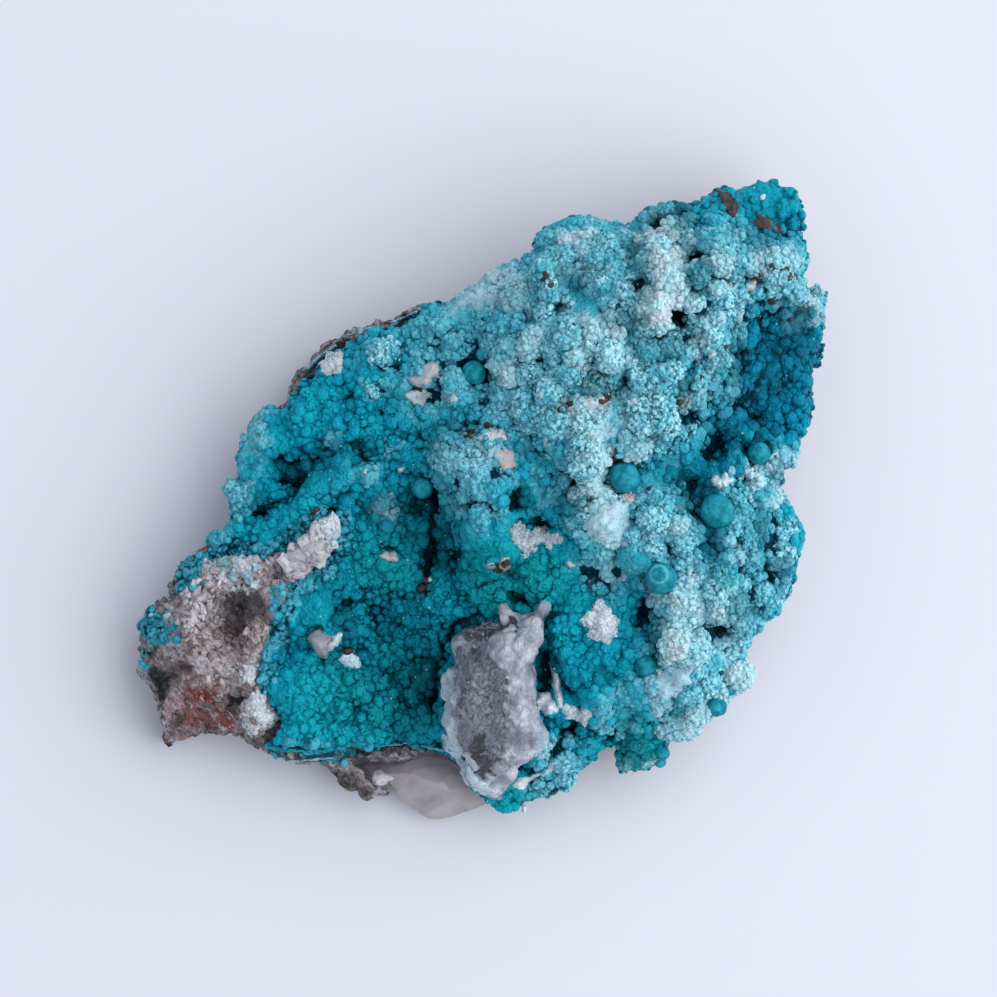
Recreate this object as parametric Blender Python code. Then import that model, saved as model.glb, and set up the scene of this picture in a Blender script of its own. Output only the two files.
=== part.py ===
"""A hand specimen of chrysocolla: a flat-bottomed slab of host rock under a knobbly blue crust.

The rock shows at the left end, along one layered side and as a foot at the near edge. A block of quartz
sits in the near edge, a grey chalcedony nodule lies on the crust above it, and malachite balls are set
in cups in the crust. Run it with blender --background --python part.py.

Places are given on a plan sheet seen from above: (right, down) in millimetres from the sheet's top left
corner, with heights in millimetres above the surface that the specimen rests on. The finished pieces hang
from one empty, which turns the sheet so that the specimen's length lies along X.
"""

import math
import random

import bmesh
import bpy
import numpy as np
from mathutils import Matrix, Vector
from mathutils.geometry import delaunay_2d_cdt

# Driving dimensions, in millimetres unless the name says otherwise.
MM = 0.001
LONG_AXIS_DEGREES = 40.7
SEAM_GAP = 0.3
CRUST_TOP_STEP = 1.26
ROCK_FACE_STEP = 1.6
HIDDEN_STEP = 3.2
LONGEST_EDGE = 2.1
SEAT_SHARE = 0.58
SEAT_SOFTNESS = 6.0
SEAT_GAP = 0.4
LEAST_CRUST = 1.1
ROCK_SHOULDER = 1.0
CRUST_OVERHANG_FALL = 2.2
CRUST_LOWEST = 3.2
RIM_SHARE = 0.42
RIM_SHARE_ON_ROCK = 0.15
RIM_WIDTH = 3.5
NODULE_LIFT = 0.4
CUP_ROOM = 0.45
QUARTZ_FLOOR = 0.5
QUARTZ_STEP = 1.7
NODULE_STEP = 1.2
NODULE_SHOULDER = 1.4
NODULE_UNDERCUT = 1.0
ROCK_BASE_INSET = 1.9
# The layers of the rock's side, downwards: share of the rim's height, inset, roughness.
ROCK_LEDGES = [(0.8, 0.5, 0.12), (0.68, 0.1, 0.12), (0.4, 0.7, 0.2), (0.3, 0.3, 0.12), (0.1, 1.2, 0.05)]
SEED = 11

# The crust's rim, clockwise on the plan. The rock shows beyond the layered rim and the matrix rim.
LEFT_RIM = [
    (20.5, 54.0), (22.3, 52.9), (23.4, 50.6), (23.1, 49.2), (23.7, 46.4), (24.5, 43.4), (24.9, 41.9),
    (26.8, 41.0), (28.0, 41.3), (28.9, 40.4),
]
LAYERED_RIM = [
    (29.6, 39.3), (31.6, 37.4), (32.4, 36.2), (34.6, 34.6), (36.9, 33.3), (39.8, 33.0), (41.4, 32.0),
    (43.0, 30.6),
]
FAR_RIM = [
    (46.1, 29.8), (48.5, 28.0), (51.1, 27.0), (52.8, 25.1), (54.0, 23.6), (55.7, 21.9), (57.6, 21.2),
    (58.6, 22.0), (61.2, 22.7), (63.8, 21.8), (65.4, 20.8), (67.8, 20.8), (70.1, 19.9), (71.9, 18.8),
    (74.8, 18.6), (76.1, 18.2), (78.3, 18.9), (79.8, 18.8), (80.5, 20.4), (80.2, 23.8), (80.2, 25.4),
    (80.7, 26.6), (80.2, 28.3), (82.5, 29.6), (82.5, 32.0), (82.4, 34.6), (82.6, 35.9), (81.2, 37.7),
    (81.5, 39.6), (80.9, 43.0), (79.4, 45.8), (77.3, 48.3), (79.0, 50.0), (79.7, 52.5), (80.4, 54.2),
    (79.4, 57.2), (78.6, 60.0), (77.4, 61.5), (75.6, 62.6), (74.9, 65.0), (74.3, 67.6), (73.2, 69.8),
    (70.8, 71.2), (69.5, 73.0), (68.2, 73.5), (66.8, 73.0), (66.9, 75.4), (66.2, 77.0), (64.2, 77.3),
    (62.0, 77.3), (61.5, 76.4), (61.7, 74.4), (59.1, 75.7), (57.6, 77.6), (55.6, 79.6), (53.4, 79.9),
    (51.4, 81.4), (49.9, 81.0),
]
NEAR_RIM = [
    (48.0, 79.5), (46.5, 78.1), (46.2, 76.5), (44.8, 75.1), (42.0, 74.4), (38.8, 74.3), (35.6, 74.7),
    (32.2, 75.0), (29.0, 74.6), (26.8, 74.7),
]
MATRIX_RIM = [
    (28.2, 72.4), (27.2, 70.1), (26.4, 68.2), (26.9, 66.0), (28.2, 63.8), (28.8, 61.2), (29.3, 59.8),
    (31.4, 58.0), (33.4, 56.4), (34.9, 54.6), (34.6, 51.8), (33.6, 50.2), (31.4, 51.2), (29.2, 53.0),
    (27.0, 54.4), (24.4, 54.5), (22.2, 54.9),
]

# The rock's edge, clockwise on the plan: in view at the left end, the layered side and the feet.
LEFT_END = [
    (14.4, 68.2), (13.7, 66.4), (14.1, 64.8), (14.1, 62.0), (15.2, 60.8), (17.4, 59.6), (17.2, 58.2),
    (17.8, 56.6), (19.8, 55.4),
]
HIDDEN_LEFT_EDGE = [(22.0, 54.4), (24.4, 52.0), (24.8, 49.2), (25.3, 46.6), (26.3, 43.2), (27.9, 42.4)]
LAYERED_SIDE = [
    (28.2, 40.5), (29.9, 37.1), (31.4, 35.9), (32.8, 34.0), (35.9, 32.6), (39.5, 31.6), (42.6, 30.3),
]
HIDDEN_FAR_EDGE = [
    (44.8, 31.5), (49.2, 29.6), (52.8, 27.4), (55.2, 24.6), (57.4, 23.3), (60.8, 24.4), (64.6, 23.0),
    (68.2, 22.4), (72.0, 20.6), (75.4, 20.2), (78.6, 20.7), (78.6, 24.0), (78.8, 28.4), (80.7, 30.8),
    (80.7, 35.0), (79.6, 38.0), (79.6, 40.6), (77.8, 44.6), (75.5, 48.2), (77.2, 50.8), (78.5, 54.2),
    (77.2, 58.0), (75.9, 60.2), (74.0, 61.6), (73.2, 64.8), (72.4, 67.8), (69.8, 69.6), (67.8, 71.6),
    (65.3, 72.3), (65.0, 74.8), (63.2, 75.2), (62.6, 72.6), (60.2, 72.9), (57.8, 74.6), (55.8, 77.2),
    (53.0, 78.4), (51.6, 79.2),
]
QUARTZ_BACK = [
    (50.6, 79.6), (48.4, 78.2), (46.6, 76.8), (45.0, 75.6), (43.0, 75.2), (41.4, 75.6), (40.4, 76.1),
    (37.6, 76.0), (34.6, 75.9), (36.6, 77.9), (39.0, 79.6),
]
BROWN_FOOT = [(38.0, 80.1), (35.6, 79.5), (33.9, 78.8), (32.8, 77.2), (31.7, 76.3)]
MATRIX_FOOT = [
    (29.5, 76.8), (27.6, 75.6), (25.4, 74.9), (24.2, 73.6), (21.0, 73.5), (19.4, 73.5), (17.2, 74.4),
    (16.3, 74.7), (16.2, 73.0), (15.9, 70.4),
]
QUARTZ_TUCKED_EDGE = [
    (50.7, 80.1), (48.3, 78.7), (46.4, 77.2), (44.9, 76.0), (43.0, 75.6), (41.5, 76.0), (40.5, 76.5),
    (37.6, 76.5), (35.7, 76.5), (37.0, 77.6), (39.3, 79.2),
]
QUARTZ_FRONT = [
    (39.9, 80.4), (41.2, 80.7), (42.3, 81.9), (43.1, 82.3), (44.8, 82.2), (48.0, 81.3), (50.4, 80.6),
]
NODULE_RIM = [
    (44.9, 64.0), (46.8, 62.8), (48.3, 62.2), (50.2, 62.2), (50.0, 60.4), (51.2, 60.9), (52.4, 61.6),
    (53.7, 60.9), (54.7, 59.4), (55.3, 60.6), (54.4, 62.0), (54.1, 64.0), (53.4, 66.2), (53.8, 67.8),
    (53.4, 69.2), (53.9, 71.8), (54.9, 73.6), (54.0, 75.8), (52.0, 76.8), (51.0, 78.4), (50.2, 80.0),
    (49.4, 80.3), (48.0, 79.3), (46.5, 78.0), (46.2, 76.3), (45.2, 74.2), (44.3, 72.6), (44.3, 71.2),
    (44.1, 69.4), (44.4, 67.2), (45.6, 66.4), (45.0, 65.4),
]

# Heights of the crust's general form: (right, down, height).
CRUST_SURVEY = [
    (25, 44, 11), (25, 50, 11), (30, 42, 13), (31.5, 46, 10.5), (28, 48, 9.5), (33.5, 48, 13.5),
    (36, 46.3, 14.5), (30.2, 49.7, 13), (38, 38, 14.5), (34, 36.5, 12), (40, 34, 13.5), (45, 33, 15.5),
    (50, 30, 16.5), (55, 25, 16.5), (47, 38, 16.5), (42, 42, 14.5), (38, 43, 13.5), (46, 46, 17.5),
    (48, 50, 17.5), (49, 54, 16), (44.5, 52, 13), (42.5, 50, 11.5), (43, 57, 10.5), (39, 50, 12.5),
    (37, 55, 12), (40, 57, 11), (34.5, 58, 11.5), (31.5, 61, 11), (38, 62, 10), (30, 68, 9.8),
    (35, 68, 9.3), (41, 68, 9), (43, 64, 9.5), (42, 73, 8.6), (33, 73, 8.8), (27.5, 73.6, 8.8),
    (46, 60, 11.5), (50, 59, 13.5), (52, 54, 15), (53, 50, 16.5), (55, 46, 17.5), (52, 42, 17.5),
    (57, 40, 19), (60, 36, 20.5), (60, 30, 19.5), (62, 25, 17.5), (57, 23, 16), (65, 28, 20.5),
    (66, 31, 21.5), (66, 24, 18), (66, 36, 20), (70, 28, 21), (72, 25, 20), (77, 26, 18.5),
    (79.5, 27.5, 16.5), (63, 23.4, 15.5), (70, 22, 16), (73, 20.5, 14.5),
    (77, 20.5, 14), (79.5, 22, 12.5), (81, 30, 13.5), (74, 31, 16.5), (71, 34, 19.5), (75, 36, 13),
    (78, 33, 13), (81, 35, 11), (76, 40, 12), (79, 41, 11), (74, 43, 12), (77, 45.5, 13.5), (71, 38, 18.5),
    (70.5, 42, 14.5), (68, 40, 18.5), (64, 42, 19.5), (60, 45, 20), (60, 52, 19), (64, 47, 17),
    (68, 46, 15.5), (70, 48.5, 14.5), (71.5, 50.5, 15.5), (66, 52, 18), (76, 50, 13), (78, 53, 12.5),
    (75, 56, 14.5), (77, 60, 11), (72, 58, 16.5), (68, 57, 17.5), (64, 56, 17.5), (66, 62, 16.5),
    (71, 61.5, 15), (68, 66, 16), (72, 66, 12.5), (70, 70, 11.5), (66, 69.5, 14), (64, 66, 15),
    (60, 62, 15.5), (56, 58, 15), (58, 66, 15), (60, 70, 14.5), (57, 70, 12.5), (58, 73.5, 10),
    (62, 73, 11), (64, 76, 7.5), (57, 77, 7.5), (54, 79, 6.6), (51, 80.5, 6.6),
]
# Steps in the crust: (outline, rise), each ending in a steep edge.
PLATEAU = [
    (43.4, 45.0), (45.0, 43.7), (48.0, 43.6), (50.4, 45.0), (51.4, 47.5), (50.8, 51.0), (51.0, 55.4),
    (47.0, 55.6), (45.0, 53.4), (46.2, 51.6), (44.0, 49.2),
]
POPCORN_HEAP = [
    (53.0, 26.0), (60.0, 24.0), (64.0, 24.2), (70.0, 22.4), (74.0, 23.6), (79.0, 25.0), (79.0, 28.4),
    (73.6, 30.6), (72.4, 34.0), (72.2, 39.0), (70.2, 41.4), (66.0, 44.0), (62.6, 45.4), (60.8, 49.0),
    (58.0, 49.0), (55.0, 44.0), (50.0, 40.0), (49.0, 33.0),
]
LOWER_HEAP = [
    (63.5, 50.0), (68.8, 49.8), (74.0, 50.2), (75.6, 56.0), (74.6, 60.8), (72.4, 64.0), (70.6, 69.0),
    (68.0, 71.0), (65.6, 70.0), (66.2, 64.0), (65.6, 60.6), (62.6, 58.4),
]
STEPS = [(PLATEAU, 1.2), (POPCORN_HEAP, 1.2), (LOWER_HEAP, 1.0)]
STEP_EDGE_WIDTH = 0.9
# Cauliflower lumps, and pits with a depth below zero: (right, down, radius, height).
LUMPS = [
    (72.0, 26.0, 2.0, 1.2), (71.6, 29.2, 1.8, 1.0), (66.0, 27.0, 2.4, 1.2), (66.2, 30.8, 2.6, 1.4),
    (75.4, 26.6, 1.6, 0.9), (77.4, 25.2, 1.8, 0.9), (60.5, 35.8, 2.2, 1.0), (57.8, 36.2, 1.8, 0.9),
    (59.8, 33.4, 2.0, 0.9), (52.7, 35.0, 1.4, 0.9), (50.7, 37.0, 1.3, 0.8), (46.2, 34.8, 1.5, 0.9),
    (38.7, 35.1, 1.5, 0.9), (41.0, 35.6, 1.5, 0.8), (32.8, 38.7, 1.5, 0.6), (30.4, 40.8, 1.6, 0.7),
    (33.2, 44.3, 1.5, 1.0), (26.8, 43.2, 1.6, 0.7), (42.0, 46.4, 1.8, 0.9), (42.2, 48.7, 1.2, 1.2),
    (54.4, 50.6, 1.4, 1.0), (53.2, 48.9, 1.2, 0.8), (60.4, 52.2, 2.3, 0.8), (66.4, 39.0, 2.6, 0.8),
    (66.8, 42.8, 2.3, 0.8), (71.4, 60.8, 1.9, 1.4), (67.8, 64.2, 2.2, 1.4), (69.2, 69.0, 2.0, 1.0),
    (70.3, 65.6, 1.6, 0.9), (72.2, 65.8, 1.4, 0.9), (69.5, 57.4, 1.7, 0.9), (73.0, 57.2, 1.9, 0.9),
    (73.4, 54.4, 1.6, 0.8), (77.8, 54.0, 1.6, 0.8), (76.8, 60.2, 1.5, 0.7), (74.0, 63.6, 1.5, 0.8),
    (62.6, 59.8, 1.5, 0.8), (60.2, 68.6, 3.4, 0.9), (56.4, 62.2, 2.0, 0.7), (64.2, 70.0, 1.8, 0.8),
    (71.9, 48.6, 1.5, 1.0), (74.6, 38.0, 2.2, 0.8), (31.8, 60.6, 1.7, 0.9), (32.6, 64.6, 1.6, 1.0),
    (46.6, 53.6, 1.8, 0.8), (30.0, 66.2, 2.0, 0.5), (35.4, 71.0, 2.2, 0.5), (39.4, 66.4, 1.8, 0.5),
    (67.8, 31.8, 1.4, -2.6), (62.3, 38.4, 1.6, -2.6), (69.2, 25.4, 1.5, -2.2), (64.2, 29.0, 1.2, -2.2),
    (71.6, 27.9, 1.2, -1.4), (69.6, 34.6, 1.5, -1.6), (66.0, 34.2, 2.0, -2.0), (57.4, 29.4, 1.9, -1.8),
    (55.3, 31.2, 1.0, -1.0), (58.6, 37.6, 1.2, -1.6), (61.4, 37.0, 1.0, -1.2), (71.4, 44.6, 1.9, -2.0),
    (76.0, 42.4, 1.6, -1.8), (73.2, 60.6, 1.6, -2.2), (64.8, 61.6, 1.9, -2.2), (69.4, 61.2, 1.2, -1.8),
    (72.0, 63.4, 1.3, -1.6), (69.8, 49.2, 1.6, -1.6), (57.2, 73.2, 1.7, -1.7), (55.2, 67.6, 1.5, -2.8),
    (52.4, 59.9, 1.6, -1.4), (43.1, 56.8, 1.6, -1.2), (46.8, 51.2, 1.3, -1.4), (42.2, 51.0, 1.7, -1.0),
    (42.8, 40.3, 1.3, -1.6), (36.6, 45.2, 1.4, -1.4), (29.2, 47.7, 2.0, -1.1), (26.1, 51.2, 1.4, -1.2),
    (33.9, 60.4, 1.3, -1.3), (30.4, 63.4, 1.2, -1.0), (39.8, 61.8, 1.7, -0.9), (43.2, 69.8, 1.8, -0.7),
    (65.8, 65.0, 1.0, -1.4), (68.2, 71.0, 1.2, -1.4), (73.8, 54.0, 1.2, -1.0), (67.0, 55.6, 1.1, -1.4),
]
# Ridges: (points along the crest, half width, height).
RIDGES = [
    ([(50.2, 48.6), (50.5, 51.5), (50.9, 55.2)], 0.9, 1.2),
    ([(36.6, 46.3), (34.0, 47.7), (30.4, 49.8)], 1.2, 1.0),
    ([(72.2, 42.0), (73.6, 43.2), (73.9, 45.2), (74.2, 46.9)], 0.9, 1.5),
    ([(56.0, 29.6), (58.2, 31.6), (59.6, 33.4)], 1.0, 0.8),
]
# Small random knobs of the popcorn crust: how far apart, and the range of their radii and heights.
KNOB_SPACING = 2.9
KNOB_RADII = (1.3, 2.0)
KNOB_HEIGHTS = (0.5, 1.1)

# Heights of the rock where it shows.
ROCK_SURVEY = [
    (14.2, 66.4, 6.0), (14.4, 62.6, 7.0), (15.4, 61.2, 8.0), (17.6, 59.2, 9.0), (17.6, 57.2, 8.5),
    (20.6, 56.0, 10.0), (19.0, 62.0, 11.0), (17.2, 66.0, 9.5), (20.5, 59.2, 11.5), (23.2, 61.0, 6.4),
    (22.8, 63.0, 8.2), (19.4, 66.2, 10.2), (25.4, 63.4, 11.0), (27.0, 60.0, 11.2), (23.6, 56.8, 11.2),
    (28.2, 57.4, 11.8), (29.8, 55.6, 12.6), (32.8, 53.0, 14.0), (33.4, 50.9, 13.4), (25.2, 66.8, 10.4),
    (20.2, 69.4, 9.2), (25.6, 70.8, 9.8), (25.8, 72.6, 8.8), (22.6, 71.6, 6.6), (17.2, 70.2, 7.6),
    (16.6, 72.8, 5.4), (16.4, 74.4, 3.6), (20.4, 72.9, 4.6), (23.6, 73.2, 5.2), (25.6, 74.4, 6.0),
    (29.0, 75.7, 6.2), (29.5, 76.6, 4.6), (33.0, 75.9, 6.6), (38.0, 75.6, 6.8), (43.0, 75.0, 6.8),
    (34.0, 77.8, 4.6), (36.4, 78.8, 4.0), (38.4, 79.8, 2.8), (47.5, 77.8, 4.4), (50.0, 79.4, 4.2),
    (28.6, 40.6, 7.5), (30.2, 37.6, 6.5), (31.0, 38.0, 9.5), (33.0, 34.6, 6.5), (33.4, 35.6, 9.8),
    (36.0, 32.9, 6.5), (36.4, 33.6, 10.2), (39.6, 31.8, 7.0), (40.0, 32.6, 10.6), (42.4, 30.6, 8.5),
]
# Small cleaved blocks and hollows of the bare rock, in the same way as the crust's lumps.
ROCK_LUMPS = [
    (25.6, 71.3, 1.9, 1.1), (24.9, 66.8, 1.4, 0.7), (30.6, 54.4, 2.0, 0.7), (33.0, 51.6, 1.8, 0.8),
    (23.0, 56.6, 2.2, 0.6), (18.6, 61.6, 1.8, 0.6), (19.2, 65.4, 1.8, 0.6), (25.2, 63.2, 1.6, 0.7),
    (19.4, 69.6, 1.8, -0.5), (23.2, 60.9, 2.0, -1.2), (29.2, 57.4, 1.2, -0.6), (16.9, 67.2, 1.3, -0.6),
    (27.6, 59.4, 1.4, 0.4), (15.0, 63.4, 1.2, 0.5),
]
QUARTZ_SURVEY = [
    (36.0, 76.8, 4.6), (39.0, 76.9, 5.0), (43.0, 76.6, 5.2), (45.4, 77.0, 4.6), (46.6, 78.0, 3.8),
    (48.2, 79.0, 2.5), (50.3, 80.3, 2.2), (40.0, 79.6, 3.4), (43.0, 79.4, 5.4), (46.0, 80.0, 4.0),
    (42.6, 81.6, 2.6), (44.6, 81.8, 2.8), (48.0, 80.9, 2.5), (38.0, 78.2, 4.4),
]
# Heights of the nodule's top, and of the smooth seat in the crust that it lies on.
NODULE_SURVEY = [
    (45.4, 64.6, 14.2), (47.2, 63.6, 15.4), (49.6, 62.8, 16.0), (50.4, 61.2, 15.2), (54.6, 60.4, 16.2),
    (53.4, 62.2, 16.8), (52.0, 64.6, 18.2), (50.6, 65.4, 17.6), (47.0, 65.4, 15.0), (45.0, 68.2, 13.4),
    (44.8, 71.8, 12.8), (46.8, 69.0, 15.6), (49.0, 68.0, 16.4), (51.4, 68.6, 17.6), (53.2, 68.2, 16.8),
    (52.8, 71.6, 17.4), (50.2, 72.2, 16.4), (47.4, 72.2, 15.2), (46.0, 74.6, 12.6), (48.2, 75.6, 13.6),
    (50.4, 75.2, 15.0), (53.6, 73.8, 15.6), (53.2, 75.6, 14.2), (47.4, 77.6, 10.6), (49.6, 78.2, 11.2),
    (49.2, 79.8, 9.0),
]
NODULE_SEAT = [
    (44.5, 64.5, 9.8), (44.5, 71.0, 9.2), (46.5, 77.5, 6.8), (49.6, 80.2, 6.2), (51.5, 77.5, 8.2),
    (54.5, 74.0, 11.0), (54.0, 68.5, 12.6), (54.6, 60.8, 13.6), (50.5, 61.5, 12.6), (48.5, 68.0, 10.4),
]
NODULE_LUMPS = [
    (52.6, 63.6, 2.0, 0.8), (50.0, 65.0, 1.3, 0.9), (52.0, 66.4, 1.6, 0.5), (53.0, 70.0, 1.5, 0.5),
    (52.6, 73.6, 2.1, 0.6), (54.5, 60.8, 1.3, 0.4), (51.0, 77.0, 1.4, 0.5), (48.6, 71.4, 2.6, -0.8),
    (47.6, 64.6, 1.7, -1.0), (48.0, 75.6, 1.6, -0.8),
]
# Malachite balls: (right, down, half width, half depth on the plan, rise of the centre over the crust).
BALLS = [
    (47.4, 37.3, 1.15, 1.25, 0.15),
    (62.4, 47.7, 1.45, 1.65, 0.25),
    (71.6, 51.1, 1.75, 1.70, 0.30),
    (66.0, 57.8, 1.70, 1.55, 0.10),
    (75.9, 45.3, 1.25, 1.10, 0.05),
    (64.6, 66.6, 1.15, 1.20, 0.10),
]
CUP_SIDES = 8

# Colours as linear RGB, with each finish's roughness.
ROCK_FINISH = ((0.30, 0.24, 0.24), 0.85)
CRUST_FINISH = ((0.02, 0.36, 0.42), 0.55)
QUARTZ_FINISH = ((0.38, 0.36, 0.37), 0.25)
NODULE_FINISH = ((0.22, 0.21, 0.26), 0.4)
MALACHITE_FINISH = ((0.01, 0.25, 0.24), 0.35)


def sheet_points(pairs):
    """Plan sheet places as an array with Y up."""
    return np.array([(right, -down) for right, down in pairs])


def sheet_heights(triples):
    """Survey marks, with Y up."""
    return np.array([(right, -down, height) for right, down, height in triples])


def filled_out(points, closed=True):
    """The points with more between any two that lie far apart."""
    ends = np.roll(points, -1, axis=0) if closed else np.vstack([points[1:], points[-1:]])
    found = []
    for start, end in zip(points, ends):
        pieces = max(1, math.ceil(np.linalg.norm(end - start) / LONGEST_EDGE))
        found += [start + (end - start) * step / pieces for step in range(pieces)]
    return np.array(found)


def grown(loop, distance):
    """A counterclockwise loop moved outwards by a distance."""
    along = np.roll(loop, -1, axis=0) - loop
    along /= np.linalg.norm(along, axis=1)[:, None]
    normal = np.stack([along[:, 1], -along[:, 0]], axis=1)
    bisector = normal + np.roll(normal, 1, axis=0)
    length = np.linalg.norm(bisector, axis=1)[:, None]
    return loop + distance * bisector / length * np.minimum(2 / length, 1.25)


def distance_inside(points, loop):
    """How far each point lies inside a loop, below zero outside it."""
    ends = np.roll(loop, -1, axis=0)
    along = ends - loop
    offset = points[:, None, :] - loop[None, :, :]
    share = np.clip((offset * along).sum(2) / (along ** 2).sum(1), 0, 1)
    away = np.linalg.norm(offset - share[..., None] * along, axis=2).min(axis=1)
    straddles = (loop[:, 1] > points[:, None, 1]) != (ends[:, 1] > points[:, None, 1])
    rise = np.where(along[:, 1] == 0, 1, along[:, 1])
    crossing = loop[:, 0] + (points[:, None, 1] - loop[:, 1]) * along[:, 0] / rise
    inside = (straddles & (points[:, None, 0] < crossing)).sum(axis=1) % 2 == 1
    return np.where(inside, away, -away)


def crossed_edges(loop):
    """Which edges of a loop cross another of its edges."""
    first, second = loop, np.roll(loop, -1, axis=0)

    def side(points):
        along = second - first
        offset = points[None, :, :] - first[:, None, :]
        return along[:, None, 0] * offset[..., 1] - along[:, None, 1] * offset[..., 0] > 0

    start_side, end_side = side(first), side(second)
    parted = start_side != end_side
    crossing = parted & parted.T
    for step in (-1, 0, 1):
        numbers = np.arange(len(loop))
        crossing[numbers, (numbers + step) % len(loop)] = False
    return crossing.any(axis=1)


def tucked(loop, distance):
    """A counterclockwise loop moved inwards by up to a distance, and by less where the outline is narrow."""
    inwards = grown(loop, -1.0) - loop
    depth = np.zeros(len(loop))
    for part in np.linspace(0.15, 1, 8):
        roomy = distance_inside(loop + inwards * part * distance, loop) > 0.8 * part * distance
        depth[roomy] = part * distance
    for _ in range(20):
        moved = loop + inwards * depth[:, None]
        caught = crossed_edges(moved)
        if not caught.any():
            break
        depth[caught | np.roll(caught, 1)] *= 0.7
    return moved


def surveyed(points, marks, softness=1.6):
    """Heights between survey marks, as a mean weighted by nearness."""
    squared = ((points[:, None, :] - marks[None, :, :2]) ** 2).sum(axis=2)
    weight = 1 / (squared + softness ** 2) ** 2
    return (weight * marks[:, 2]).sum(axis=1) / weight.sum(axis=1)


def domes(points, lumps):
    """The added height of round lumps and pits."""
    total = np.zeros(len(points))
    for right, down, radius, height in lumps:
        squared = ((points - (right, -down)) ** 2).sum(axis=1) / radius ** 2
        total += height * np.clip(1 - squared, 0, 1) ** 1.2
    return total


def ridges(points):
    total = np.zeros(len(points))
    for crest, half_width, height in RIDGES:
        nearest = np.full(len(points), 99.0)
        line = sheet_points(crest)
        for start, end in zip(line, line[1:]):
            along = end - start
            share = np.clip(((points - start) @ along) / (along @ along), 0, 1)
            nearest = np.minimum(nearest, np.linalg.norm(points - start - share[:, None] * along, axis=1))
        total += height * np.clip(1 - (nearest / half_width) ** 2, 0, 1)
    return total


def smooth_step(value, low, high):
    share = np.clip((value - low) / (high - low), 0, 1)
    return share * share * (3 - 2 * share)


def hexagon_grid(loop, step, margin):
    """Plan points in a grid of triangles, inside a loop by a margin."""
    low, high = loop.min(axis=0), loop.max(axis=0)
    rows = np.arange(low[1], high[1], step * math.sqrt(0.75))
    found = []
    for number, height in enumerate(rows):
        start = low[0] + (number % 2) * step / 2
        found += [(across, height) for across in np.arange(start, high[0], step)]
    found = np.array(found)
    return found[distance_inside(found, loop) > margin]


def knobs():
    """Seeded popcorn knobs over the heaps and the plateau."""
    chance = random.Random(SEED)
    heaps = [sheet_points(POPCORN_HEAP), sheet_points(LOWER_HEAP), sheet_points(PLATEAU)]
    found = []
    for across, along in hexagon_grid(CRUST_RIM, KNOB_SPACING, KNOB_RADII[0]):
        across += chance.uniform(-1, 1)
        along += chance.uniform(-1, 1)
        radius = chance.uniform(*KNOB_RADII)
        height = chance.uniform(*KNOB_HEIGHTS)
        place = np.array([(across, along)])
        if max(distance_inside(place, heap)[0] for heap in heaps) > 0:
            found.append((across, -along, radius, height))
    return found


def chained(points, kept):
    """The kept points, and the edges between those that were neighbours in a closed loop."""
    number = np.cumsum(kept) - 1
    following = np.roll(kept, -1)
    edges = [
        (number[index], number[(index + 1) % len(points)])
        for index in range(len(points)) if kept[index] and following[index]
    ]
    return points[kept], edges


def clear_of(grid, lines, distance):
    """The grid points that keep a distance from every point of the lines."""
    for line in lines:
        if len(line):
            away = np.linalg.norm(grid[:, None, :] - line[None, :, :], axis=2).min(axis=1)
            grid = grid[away > distance]
    return grid


def triangulated(rim, chains, loose):
    """Plan triangles inside a rim, with the rim's points first: (points, triangles)."""
    points = [tuple(place) for place in rim]
    edges = [(index, (index + 1) % len(rim)) for index in range(len(rim))]
    for line, links in chains:
        base = len(points)
        points += [tuple(place) for place in line]
        edges += [(base + first, base + second) for first, second in links]
    points += [tuple(place) for place in loose]
    found = delaunay_2d_cdt([Vector(place) for place in points], edges, [], 1, 1e-5)
    if len(found[0]) != len(points):
        raise ValueError("two outlines of the plan cross")
    order = [sources[0] for sources in found[3]]
    triangles = [[order[corner] for corner in face] for face in found[2]]
    flat = np.array(points)
    for face in triangles:
        first, second, third = flat[face]
        turn = np.cross(second - first, third - first)
        if turn < 0:
            face.reverse()
    return flat, triangles


def raised(flat, heights):
    return np.column_stack([flat, heights])


def closed_shell(top, top_faces, rings, bottom, bottom_faces, count):
    """A solid between a top and a bottom sheet whose first points are their rims, with rings between."""
    layers = [top] + rings + [bottom]
    starts = np.cumsum([0] + [len(layer) for layer in layers])
    faces = [tuple(face) for face in top_faces]
    faces += [tuple(int(starts[-2]) + corner for corner in reversed(face)) for face in bottom_faces]
    for upper, lower in zip(starts[:-2], starts[1:-1]):
        for index in range(count):
            following = (index + 1) % count
            faces.append((int(upper) + index, int(lower) + index, int(lower) + following))
            faces.append((int(upper) + index, int(lower) + following, int(upper) + following))
    return np.vstack(layers), faces


def solid(name, points, faces, finish, smooth_degrees):
    """A named object from millimetre points, with its own material."""
    colour, roughness = finish
    mesh = bpy.data.meshes.new(name)
    mesh.from_pydata([tuple(place * MM) for place in points], [], faces)
    body = bmesh.new()
    body.from_mesh(mesh)
    bmesh.ops.recalc_face_normals(body, faces=body.faces)
    body.to_mesh(mesh)
    body.free()
    mesh.shade_smooth()
    mesh.set_sharp_from_angle(angle=math.radians(smooth_degrees))
    material = bpy.data.materials.new(name)
    material.use_nodes = True
    shader = material.node_tree.nodes["Principled BSDF"]
    shader.inputs["Base Color"].default_value = (*colour, 1)
    shader.inputs["Roughness"].default_value = roughness
    shader.inputs["Metallic"].default_value = 0
    mesh.materials.append(material)
    made = bpy.data.objects.new(name, mesh)
    bpy.context.scene.collection.objects.link(made)
    return made


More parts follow.
